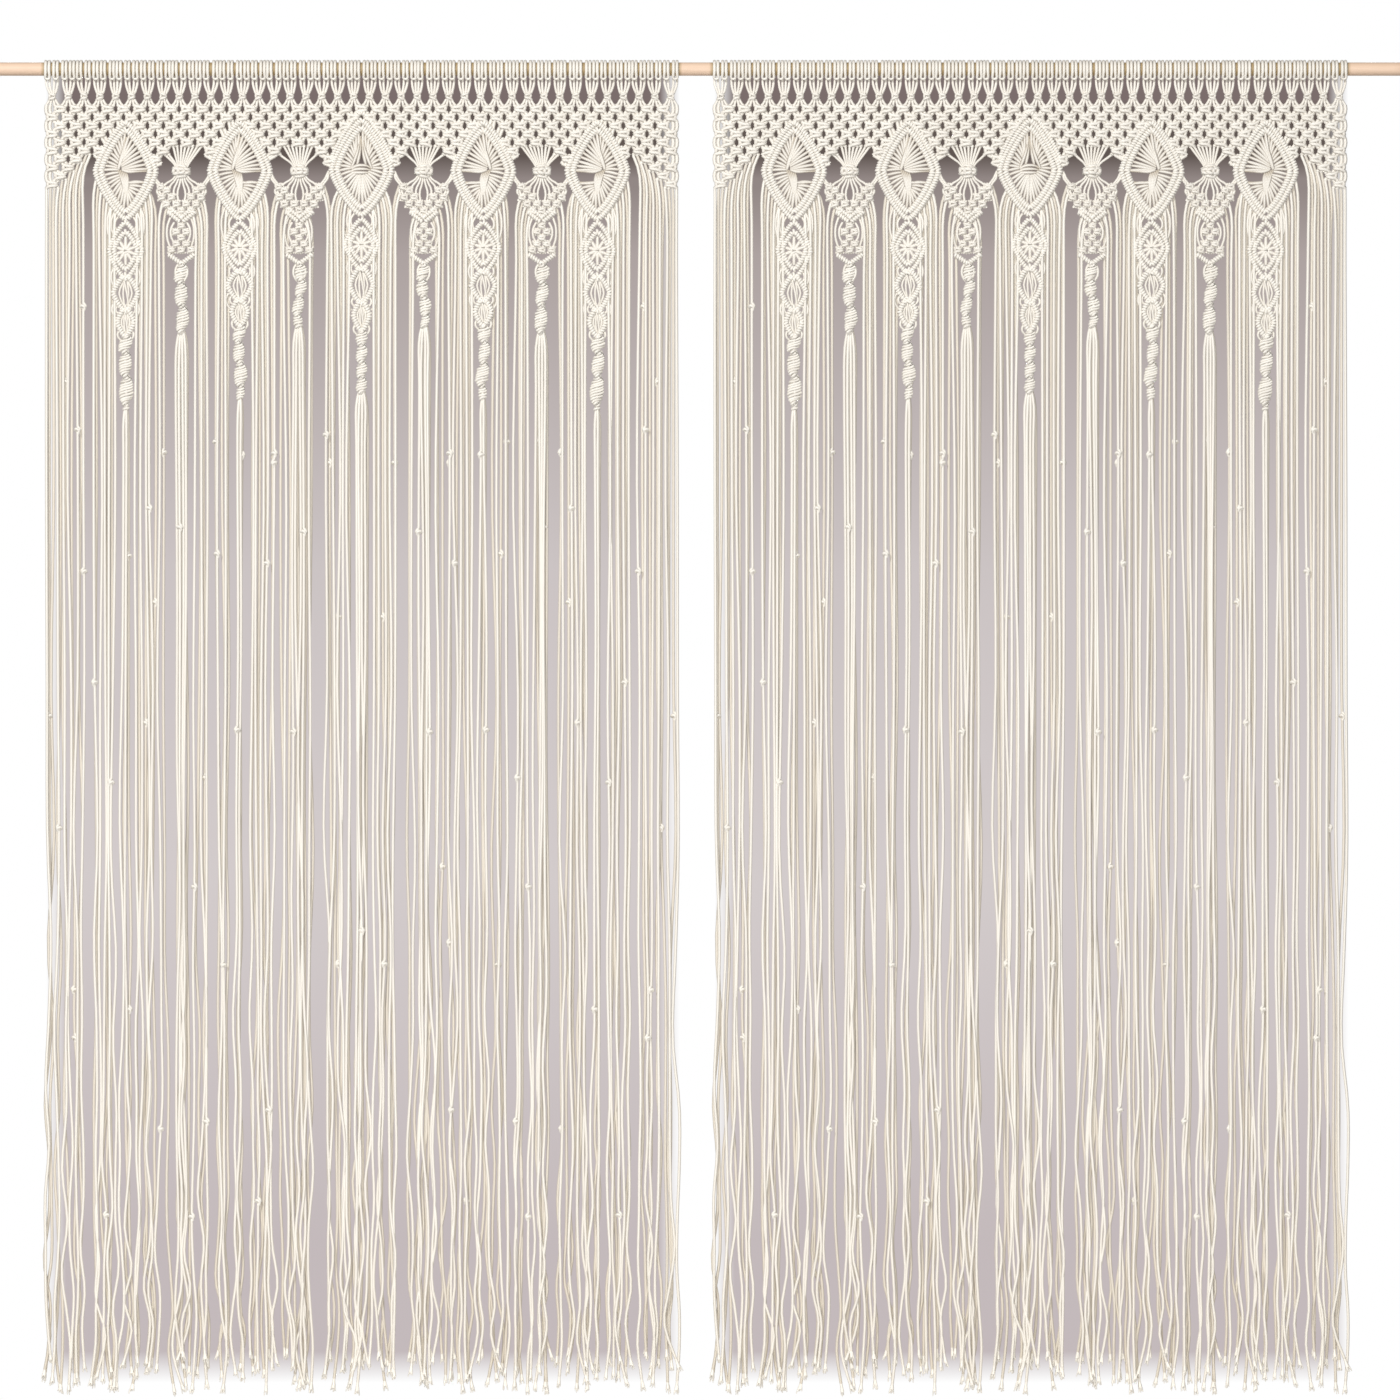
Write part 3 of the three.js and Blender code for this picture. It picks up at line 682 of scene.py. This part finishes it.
def slit_foot(x, z):
    """Where a spoke ends in a diamond with a slit, or None for a spoke that would cross the slit."""
    angle = math.degrees(math.atan2(z, x))
    if SLIT_FROM < angle < SLIT_TO:
        return None
    angle = angle % 360 if angle < SLIT_TO else max(angle, 0)
    depth = -3.4 if angle < 90 else -1.0 if angle < 190 else -2.4
    directions, across, height = np.array(SLIT_FEET).T
    return np.interp(angle, directions, across), depth, np.interp(angle, directions, height)


def plain_foot(x, z):
    """Where a spoke ends in the diamond without a slit, which is alike on both sides."""
    angle = math.degrees(math.atan2(z, abs(x)))
    depth = -1.0 if angle > 0 else -2.6
    directions, across, height = np.array(PLAIN_FEET).T
    across = math.copysign(np.interp(angle, directions, across), x)
    return across, depth, np.interp(angle, directions, height)


def spokes(cords, diamond, side):
    """The fan inside a diamond. side is the way to the curtain's middle from it."""
    places, _ = rim(inset(diamond, SPOKE_INSET), SPOKE_PITCH)
    origin = np.array((diamond["across"], -diamond["drop"]))
    foot_of, heart = (slit_foot, SLIT_HEART) if diamond["slit"] else (plain_foot, PLAIN_HEART)
    control = []
    for x, z in (places - origin) * (side, 1):
        foot = foot_of(x, z)
        if foot is None:
            continue
        across, depth, height = foot
        halfway = (across + (x - across) * 0.5, depth + 0.2, height + (z - height) * 0.5 + 0.6)
        control.append([(x * 1.1, -1.0, z * 1.06), (x, -2.0, z), halfway, foot])
    control = np.array(control) + cords.random.normal(0, 0.25, (len(control), 4, 3))
    inside = np.concatenate([control, np.array(heart, float)])
    inside[:, :, 0] *= side
    inside[:, :, [0, 2]] += origin
    tones = cords.random.uniform(0, 0.14, (len(inside), 1)) + SPOKE_SHADES
    # Painted shade: the spokes' sides are painted deeply dark, so the slots between them read dark
    cords.lay(smooth(inside, 8), SPOKE_RADII, tones, edge=2.1)


diamonds = Cords(seed=11)
for row in DIAMONDS:
    for side in (-1, 1) if row["across"] else (1,):
        diamond = dict(row, across=row["across"] * side)
        for amount, reach in HITCH_ROWS:
            hitch_ring(diamonds, inset(diamond, amount), reach)
        spokes(diamonds, diamond, -side)
places, out = rim(CREST, HITCH_PITCH)
upper = places[:, 1] > -CREST_LOW
hitches(diamonds, places[upper], out[upper], CREST_REACH)
hang_pair("diamonds", diamonds, "heading")

# Sunbursts: between the diamonds the cords of the net's arch run down to a round lump of square knots
# and fan out again to a small V-shaped net, whose lower point is edged with double half hitches. Two
# cords from the diamond at either side hold each arm of the V.
FAN_ROOT, FAN_WAIST, FAN_BOW = 11.0, 11.0, 4.0
FAN_RADII = np.array([2.1, 2.1, 2.1, 2.0, 1.9, 1.8, 1.75, 1.75])
LUMP_KNOTS = [
    ([(0, -5.6), (0, 5.6)], {"width": 1.0, "height": 0.95, "radius": 2.9}),
    ([(-6.2, 0), (6.2, 0)], {"width": 0.8, "height": 1.1, "radius": 3.0, "forward": 1.5}),
    ([(0, 0)], {"width": 0.7, "height": 1.0, "radius": 3.0, "forward": 4.0}),
]
V_NET = [(32.5, 25), (23.25, 30.6), (31, 41.1), (15.5, 41.1), (23.25, 51.7), (7.75, 51.7), (15.5, 62.2)]
V_LAST = 62.2
V_WIDTH, V_HEIGHT, V_RADIUS = 0.62, 0.8, 2.35
V_FANNED = [0, 1, 3, 5]
V_FOOT = 4.2
V_REACH, V_TOP, V_POINT = 20.0, 61.0, 77.0
V_EDGES, V_EDGE_REACH = (-3.4, 3.6), 2.1
V_LINKS = np.array([[(38.3, 0.0, -30.3), (38.3, 0.4, -33), (36.8, 0.0, -35.8)],
                    [(34.5, 0.0, -30.3), (34.4, 0.4, -33), (33, 0.0, -35.8)]])
V_TIES = np.array([[(46, 2.5, 2 - a), (43 + a * 0.4, -0.8, -4 - a * 0.4), (38.5 + a, -1.0, -12),
                    (32.5 + a, 0.0, -19.7)] for a in (2.0, 5.8)])


def fan_cords(ends, way, bow):
    """The cords of a fan from their ends to the lump, up from it where way is 1 and down where it
    is -1. A bow swells the fan's sides."""
    waist = way * FAN_WAIST
    control = []
    for part, (x, z) in zip(np.linspace(-1, 1, len(ends)), ends):
        root = part * FAN_ROOT
        swell = math.copysign(bow, part) * (1 - 0.4 * abs(part))
        control.append([(x, 0.1, z), (x * 0.6 + root * 0.4 + swell, -0.8, z * 0.6 + waist * 0.4),
                        (x * 0.15 + root * 0.85, -1.8, z * 0.15 + waist * 0.85),
                        (root * 0.7, -1.0, waist * 0.4)])
    return control


def hitch_line(cords, start, end, reach, shift=0.0):
    """A straight row of hitches, shifted sideways from the line between two places."""
    start, end = np.array(start, float), np.array(end, float)
    length = np.linalg.norm(end - start)
    along = (end - start) / length
    out = np.array((-along[1], along[0]))
    count = max(2, round(length / HITCH_PITCH))
    places = start + along * ((np.arange(count) + 0.5) * length / count)[:, None] + out * shift
    hitches(cords, places, np.repeat(out[None], count, axis=0), reach)
    carried(cords, places)


sunbursts = Cords(seed=13)
for across, drop in SUNBURSTS:
    for side in (-1, 1):
        middle = side * across
        centre = (middle, 0, -drop)
        above = sorted((x - middle, drop - low) for x, low in fan_tops[across, drop] if x * side > 0)
        below = sorted((way * (V_NET[k][0] - V_FOOT), -V_NET[k][1]) for k in V_FANNED for way in (-1, 1))
        fans = np.array(fan_cords(above, 1, 0.0) + fan_cords(below, -1, FAN_BOW)) + centre
        sunbursts.lay(smooth(fans, 8), FAN_RADII, sunbursts.random.uniform(0, 0.15, (len(fans), 1)))
        for places, sizes in LUMP_KNOTS:
            square_knots(sunbursts, [(middle + x, drop + y) for x, y in places], **sizes)
        v_net = [(middle + way * x, drop + y) for x, y in V_NET for way in (-1, 1)]
        square_knots(sunbursts, v_net + [(middle, drop + V_LAST)], V_WIDTH, V_HEIGHT, V_RADIUS,
                     tucked=False)
        for way in (-1, 1):
            top = (middle + way * V_REACH, -drop - V_TOP)
            point = (middle, -drop - V_POINT)
            for shift in V_EDGES:
                hitch_line(sunbursts, top, point, V_EDGE_REACH, way * shift)
            sunbursts.lay(smooth(V_LINKS * (way, 1, 1) + centre, 5), V_RADIUS, 0.05)
            sunbursts.lay(smooth(V_TIES * (way, 1, 1) + centre, 7), 2.1, 0.08)
hang_pair("sunbursts", sunbursts, "heading")

# Pendants: under each diamond two bars of half hitches cross and part again, so they form small
# diamonds one below another with loose cords bowed round their joints. Under each sunburst is a small
# net of square knots over a V of hitches. Each ends in a braid of half knots that twists as it hangs.
PENDANTS = [
    {"across": 0.0, "sway": 0.0, "cords": 8, "crossings": [240, 314, 367, 410],
     "halves": [26, 18.5, 12.5], "lumps": [(435, 10), (462, 10), (487, 9.5), (511, 9.5)]},
    {"across": 98.0, "sway": -3.0, "cords": 8, "crossings": [], "halves": [],
     "lumps": [(333, 10.5), (359, 10), (388, 10), (408, 8)]},
    {"across": 192.0, "sway": 2.0, "cords": 4, "crossings": [245, 319, 364, 402],
     "halves": [26, 19, 13], "lumps": [(430, 11), (463, 10), (500, 11.5), (522, 7.5)]},
    {"across": 284.0, "sway": 1.5, "cords": 8, "crossings": [], "halves": [],
     "lumps": [(337, 12), (374, 11), (416, 11)]},
    {"across": 372.0, "sway": 1.0, "cords": 4, "crossings": [245, 328, 379, 419],
     "halves": [26, 19.5, 13], "lumps": [(446, 12), (484, 11), (529, 12), (538, 6)]},
]
SMALL_OVERLAP = 3.5
INNER_RING = 0.72
WHEEL_REACH, INNER_REACH, WEAVE_REACH = 2.3, 2.6, 2.9
BOWS = [[(17, 12), (23, 19), (29, 27)], [(16.5, 10), (23, 16)], [(15.5, 8), (21.5, 13)], [(12.5, 9)]]
WHEEL_SPOKES = 10
WHEEL_ROUTE = [(19, -0.6), (11, -2.2), (3, -2.8)]
WHEEL_RADII = np.array([2.6, 2.7, 3.0, 3.4, 3.0])
LATTICE = [(0, 0), (-1, 1), (1, 1), (0, 2), (-1, 3), (1, 3), (-2, 4), (0, 4), (2, 4)]
LATTICE_TOP, LATTICE_ACROSS, LATTICE_FALL, LATTICE_HEIGHT = 247, 7.75, 9.6, 0.727
SIDE_BOWS_SHIFT, SIDE_BOWS_DROP, SIDE_BOWS = 1.5, 258, [(15.5, 16), (21.5, 24)]
SMALL_V_REACH, SMALL_V_TOP, SMALL_V_POINT, SMALL_V_EDGE = 21, 292, 307, 2.4
NECK_BOWS_DROP, NECK_BOWS = 320, [(9.5, 14)]
RING_PITCH = 4.3
SENNIT_NECK = 3.4
SWAY_TURNS = 6.0


def bows(cords, middle, drop, arcs):
    """Loose cords that bow outward on both sides of a joint, each to a reach and over a rise."""
    control = [[(middle + side * (reach - 5.5), 1.0, rise - drop),
                (middle + side * (reach - 1.2), -1.4, rise * 0.5 - drop),
                (middle + side * reach, -2.0, -drop),
                (middle + side * (reach - 1.2), -1.4, -rise * 0.5 - drop),
                (middle + side * (reach - 5.5), 1.0, -rise - drop)]
               for side in (-1, 1) for reach, rise in arcs]
    cords.lay(smooth(control, 9), 2.1, cords.random.uniform(0, 0.2, (len(control), 1)))


def wheel(cords, middle, drop):
    """Short spokes round a small knot, which leave a ring of openings."""
    angles = (np.arange(WHEEL_SPOKES) + 0.5) * 2 * math.pi / WHEEL_SPOKES
    control = [[(middle + math.cos(angle) * reach, depth, math.sin(angle) * 1.15 * reach - drop)
                for reach, depth in WHEEL_ROUTE] for angle in angles]
    cords.lay(smooth(control, 5), WHEEL_RADII, 0.1)
    square_knots(cords, [(middle, drop)], 0.6, 0.85, 2.1)


def weave(cords, middle, drop, half, rise):
    """Upright cords, a few bowed and one aslant, inside a small diamond."""
    control = [[(middle + wide * half * 0.35, 0.0, rise * tall - drop),
                (middle + wide * half, -2.0, -drop),
                (middle + wide * half * 0.35, 0.0, -rise * tall - drop)]
               for wide, tall in ((-0.52, 0.75), (-0.2, 0.95), (0.24, 0.95), (0.52, 0.75))]
    control.append([(middle - half * 0.2, -1.0, rise - drop), (middle + half * 0.1, -3.4, -drop),
                    (middle + half * 0.25, -1.0, -rise * 0.9 - drop)])
    cords.lay(smooth(control, 7), 1.9, 0.14)


def small_diamonds(cords, middle, crossings, halves):
    """The chain of small diamonds between the crossings. The first holds a wheel, the others a weave."""
    for top, low, half in zip(crossings, crossings[1:], halves):
        rise = (low - top) / 2
        drop = top + rise
        small = {"across": middle, "drop": drop, "half": half, "up": rise + SMALL_OVERLAP,
                 "down": rise + SMALL_OVERLAP}
        if top == crossings[0]:
            inner = dict(small, half=half * INNER_RING, up=rise * INNER_RING, down=rise * INNER_RING)
            hitch_ring(cords, small, WHEEL_REACH)
            hitch_ring(cords, inner, INNER_REACH, forward=0.4)
            wheel(cords, middle, drop)
        else:
            hitch_ring(cords, small, WEAVE_REACH)
            weave(cords, middle, drop, half, rise - 0.5)
    for crossing, arcs in zip(crossings, BOWS):
        bows(cords, middle, crossing, arcs)


def small_net(cords, middle, side):
    """The net of knots under a sunburst, with loose cords beside it and a V of hitches below."""
    knots = [(middle + column * LATTICE_ACROSS, LATTICE_TOP + row * LATTICE_FALL)
             for column, row in LATTICE]
    square_knots(cords, knots, V_WIDTH, LATTICE_HEIGHT, V_RADIUS, tucked=False)
    bows(cords, middle + side * SIDE_BOWS_SHIFT, SIDE_BOWS_DROP, SIDE_BOWS)
    for way in (-1, 1):
        top = (middle + way * SMALL_V_REACH, -SMALL_V_TOP)
        hitch_line(cords, top, (middle, -SMALL_V_POINT), SMALL_V_EDGE)
    bows(cords, middle, NECK_BOWS_DROP, NECK_BOWS)


def sennit(cords, middle, top, lumps, sway):
    """A flat braid of half knots round a core. It turns half round for each lump, so it narrows to a
    neck where its edge is in front."""
    count = int((lumps[-1][0] - top) / RING_PITCH)
    drops = top + (np.arange(count) + 0.5) * RING_PITCH
    edges = np.array([top] + [low for low, _ in lumps])
    index = np.clip(np.searchsorted(edges, drops) - 1, 0, len(lumps) - 1)
    turn = 2 * (drops - edges[index]) / (edges[index + 1] - edges[index]) - 1
    twist = (np.sign(turn) * np.abs(turn) ** 1.7 * math.pi / 2)[:, None]
    around = np.linspace(0, 2 * math.pi, 11)
    wide = (np.array([half for _, half in lumps])[index] - 2.0)[:, None] * np.cos(around)
    thick = SENNIT_NECK * np.sin(around)
    axis = middle + sway * np.sin(np.linspace(0, 1, count) * SWAY_TURNS)
    turned = wide * np.cos(twist) - thick * np.sin(twist)
    rings = np.stack([
        axis[:, None] + turned,
        -1.0 + 0.7 * (wide * np.sin(twist) + thick * np.cos(twist)),
        -drops[:, None] + 0.42 * turned + 1.0 * np.sin(around * 2),
    ], axis=2)
    rings += cords.random.normal(0, 0.35, (count, 1, 3))
    cords.lay(rings, 2.2, cords.random.uniform(0, 0.12, (count, 1)), edge=0.6)
    core = np.stack([axis, np.full(count, -1.0), -drops], axis=1)[None]
    cords.lay(core, 3.2, 0.1, edge=0.4)


STRAND_POINTS = 46
STRAND_RADIUS = 2.45
# Each strand is darker and more beige toward its bottom
STRAND_DARKENING = np.linspace(0, 1, STRAND_POINTS) ** 2.5 * 0.3
STRAND_LOW, STRAND_LOWEST = 2016, 2074
HALF_WIDTH = 501.0
LAYER_DEPTH = 2.7
KINK, WANDER, LEAN = 0.62, 0.2, 0.3
BEND_DROPS = np.array([0.0, 0.02, 0.07, 0.25, 0.42, 0.55, 0.64, 0.71, 0.77, 0.82, 0.865, 0.905, 0.94,
                       0.97, 1.0])
BEND_SWAY = np.array([0.0, 0.3, 0.9, 2.8, 3.4, 3.7, 3.9, 4.1, 4.3, 4.5, 4.8, 5.1, 5.5, 6.0, 6.5])
BRUSH_REACH = np.array([-3.0, 3.0, 8.0, 13.0])
BRUSH_RADII = np.array([2.3, 2.4, 2.8, 3.3])
FIBRE_RADII = np.array([1.1, 1.2, 1.1, 0.7])
FIBRES = 8


def frayed_ends(cords, ends, ways):
    """The cut ends of cords: each opens a little and its fibres stand out of it."""
    length = cords.random.uniform(0.6, 1.15, (len(ends), 1, 1))
    brush = ends[:, None] + ways[:, None] * BRUSH_REACH[:, None] * length
    cords.lay(brush, BRUSH_RADII, 0.2, 6, (1.0, 0.7, 1.0), twisted=False)
    spread = cords.random.uniform(-1, 1, (len(ends), FIBRES, 3)) * (3.0, 1.8, 1.0)
    tip = brush[:, -1][:, None]
    outward = ways[:, None] * cords.random.uniform(2, 8, (len(ends), FIBRES, 1))
    fibres = [tip - ways[:, None] * 8 + spread * 0.5, tip + spread, tip + outward + spread * 1.5]
    control = np.stack(fibres, axis=2).reshape(-1, 3, 3)
    cords.lay(smooth(control, 4), FIBRE_RADII, 0.1, 3, twisted=False, edge=0.4)


def strands(cords, starts, hung, behind):
    """Hanging cords from (across, drop) starts to frayed ends near the floor, each straight below the
    place where it hangs. It returns their paths."""
    starts = np.asarray(starts, float)
    count = len(starts)
    bends = (count, len(BEND_DROPS))
    layer = np.where(np.arange(count) % 2 == 0, -1.0, 1.0)
    ends = cords.random.uniform(STRAND_LOW, STRAND_LOWEST, count)
    kinks = cords.random.normal(0, 1, bends) * KINK
    wander = np.cumsum(cords.random.normal(0, 1, bends), axis=1) * WANDER
    x = np.clip(np.asarray(hung, float)[:, None] + (kinks + wander) * BEND_SWAY, -HALF_WIDTH, HALF_WIDTH)
    x[:, 0] = starts[:, 0]
    lean = cords.random.normal(0, 1, bends) * LEAN
    y = layer[:, None] * (LAYER_DEPTH + BEND_SWAY * 0.3) + lean * BEND_SWAY
    y[:, 0] = behind
    z = -(starts[:, 1:2] + (ends[:, None] - starts[:, 1:2]) * BEND_DROPS)
    paths = smooth(np.stack([x, y, z], axis=2), STRAND_POINTS)
    # Painted shade: the cords of the back layer are beige, as though in the shade of the front ones
    base = np.where(layer < 0, 0.0, 0.45) + cords.random.uniform(0, 0.1, count)
    cords.lay(paths, STRAND_RADIUS, base[:, None] + STRAND_DARKENING, edge=0.8)
    ways = paths[:, -1] - paths[:, -3]
    ways /= np.linalg.norm(ways, axis=1, keepdims=True)
    frayed_ends(cords, paths[:, -1], ways)
    return paths


# The small knots tied in hanging cords, as pixels of the photograph on the left half of a curtain
TIED_KNOTS = [
    (81.8, 306.7), (66.3, 381.9), (77, 430), (185, 441), (216, 442), (324, 435), (329, 463),
    (163.4, 452.5), (242, 455), (274, 453.5), (275, 463), (151.5, 508.5), (179, 527.5), (219.8, 554),
    (131, 556), (269, 563.5), (83.5, 571.5), (303, 532), (156, 602.5), (339.6, 617.2), (96, 682.5),
    (50, 716), (144.7, 723), (238, 730), (291.4, 732), (204.8, 778), (113, 782.5), (59.5, 828),
    (193.3, 887), (279, 867), (276.5, 943), (338.4, 964), (225.5, 965), (360, 931), (72, 990),
    (131, 1009.5), (76, 1038), (268.8, 1110), (208, 1121.5), (162, 1129), (258, 1201), (105, 1215),
    (194, 1216.7)]
PIXEL = 1.577
MIDDLE_PIXEL, ROD_PIXEL = 361.5, 69.0
KNOT_REACH = 5.0
KNOT_LUMP = np.array([
    (0.0, 0.0, 6.0), (2.0, -2.0, 3.6), (3.6, -1.4, 0.8), (2.4, 1.8, -1.6), (-1.4, 2.4, -1.8),
    (-3.6, 0.2, -0.2), (-2.2, -2.8, 1.8), (1.4, -3.4, 0.4), (2.4, -1.0, -3.0), (0.4, 0.4, -6.0)])
waiting = [(side * (MIDDLE_PIXEL - x) * PIXEL, (y - ROD_PIXEL) * PIXEL)
           for x, y in TIED_KNOTS for side in (-1, 1)]


def tie(cords, paths):
    """Overhand knots on the hanging cords that pass closest to each knot's place."""
    lumps = []
    for place in list(waiting):
        across, drop = place
        near = []
        for path in paths:
            drops = -path[:, 2]
            if drops[0] < drop < drops[-1]:
                x, y = np.interp(drop, drops, path[:, 0]), np.interp(drop, drops, path[:, 1])
                near.append((abs(x - across), x, y))
        if near and min(near)[0] < KNOT_REACH:
            _, x, y = min(near)
            waiting.remove(place)
            turned = KNOT_LUMP * (cords.random.choice([-1, 1]), 1, 1)
            lumps.append(turned + (x, y - 0.8, -drop))
    if lumps:
        cords.lay(smooth(lumps, 18), 2.4, 0.03, edge=0.5)


left_to_right = [(row, -1) for row in PENDANTS[:0:-1]] + [(row, 1) for row in PENDANTS]
for index, (row, side) in enumerate(left_to_right, start=1):
    pendant = Cords(seed=20 + index)
    middle = row["across"] * side
    sway = row["sway"] * side
    if row["crossings"]:
        small_diamonds(pendant, middle, row["crossings"], row["halves"])
        braid_top = row["crossings"][-1] + 2
    else:
        small_net(pendant, middle, side)
        braid_top = SMALL_V_POINT + 1
    sennit(pendant, middle, braid_top, row["lumps"], sway)
    tip = row["lumps"][-1][0]
    tip_across = middle + sway * math.sin(SWAY_TURNS)
    spread = np.arange(row["cords"]) - (row["cords"] - 1) / 2
    starts = [(tip_across + part * 0.8, tip - 6) for part in spread]
    tie(pendant, strands(pendant, starts, tip_across + spread * 2.4, behind=0.5))
    hang_pair(f"pendant_cords_{index}", pendant, f"pendant_{index}")

# Hanging cords: twelve rows of long cords on each curtain, which are the ends of the cords that the
# heading is knotted from. They hang straight from its lower edge, waver near the hem and end frayed,
# and single overhand knots are tied in some of them.
SIDE_ACROSS, SIDE_GATHER = 497, 0.84
BAR_REACH = 1.3
ROOT_IN, ROOT_UP = 9, 8
# From the side inward: the heading's lower edge over each row, and where the row's cords hang
HANGING = [
    {"edge": [(422.5, 164), (402, 209), (380, 240)],
     "hung": [422.5, 418, 413.5, 408.5, 404, 400.5, 397, 393, 390]},
    {"edge": [(364, 240), (330, 191), (291, 247)],
     "hung": [354, 350.5, 346.5, 342.5, 338.5, 334.5, 330.5, 325.5, 318.5, 312.5]},
    {"edge": [(277, 247), (233, 191), (200, 240)],
     "hung": [261, 256.5, 252.5, 248, 244, 230, 226, 220, 214.5, 210]},
    {"edge": [(184, 240), (149, 191), (105, 247)],
     "hung": [173, 169, 165, 161, 157, 152.5, 148, 141.5, 137, 127.5, 122, 116.5]},
    {"edge": [(91, 247), (50, 191), (8, 232)],
     "hung": [82, 77.5, 54, 50.5, 46.5, 42, 38, 34, 28, 23, 19]},
]


def root(edge, across):
    """Where a cord of a lower edge starts, behind the bar or the small net that it comes out of."""
    edge_across, edge_drop = np.array(edge)[::-1].T
    drop = float(np.interp(across, edge_across, edge_drop))
    if within(nearest_diamond(across, drop), across, drop) < BAR_REACH:
        return behind_bar(across, drop)
    sunburst = min(SUNBURSTS, key=lambda place: abs(place[0] - across))
    return across + math.copysign(ROOT_IN, sunburst[0] - across), drop - ROOT_UP


def side_row(cords, side):
    """The cords under the slope at a curtain's side, gathered a little toward it."""
    starts = side_starts[side]
    gathered = [side * SIDE_ACROSS + (x - side * SIDE_ACROSS) * SIDE_GATHER for x, _ in starts]
    return strands(cords, starts, gathered, behind=0.1)


def inner_row(cords, side, row):
    """The cords of a row nearer the curtain's middle, which start behind the heading's lower edge."""
    roots = [root(row["edge"], across) for across in row["hung"]]
    starts = [(side * across, drop) for across, drop in roots]
    return strands(cords, starts, [side * across for across in row["hung"]], behind=3.0)


from_side = [None] + HANGING
for index, row in enumerate(from_side + from_side[::-1], start=1):
    side = -1 if index <= len(from_side) else 1
    fringe = Cords(seed=60 + index)
    tie(fringe, inner_row(fringe, side, row) if row else side_row(fringe, side))
    hang_pair(f"fringe_cords_{index}", fringe, f"fringe_{index}")

bpy.context.view_layer.update()
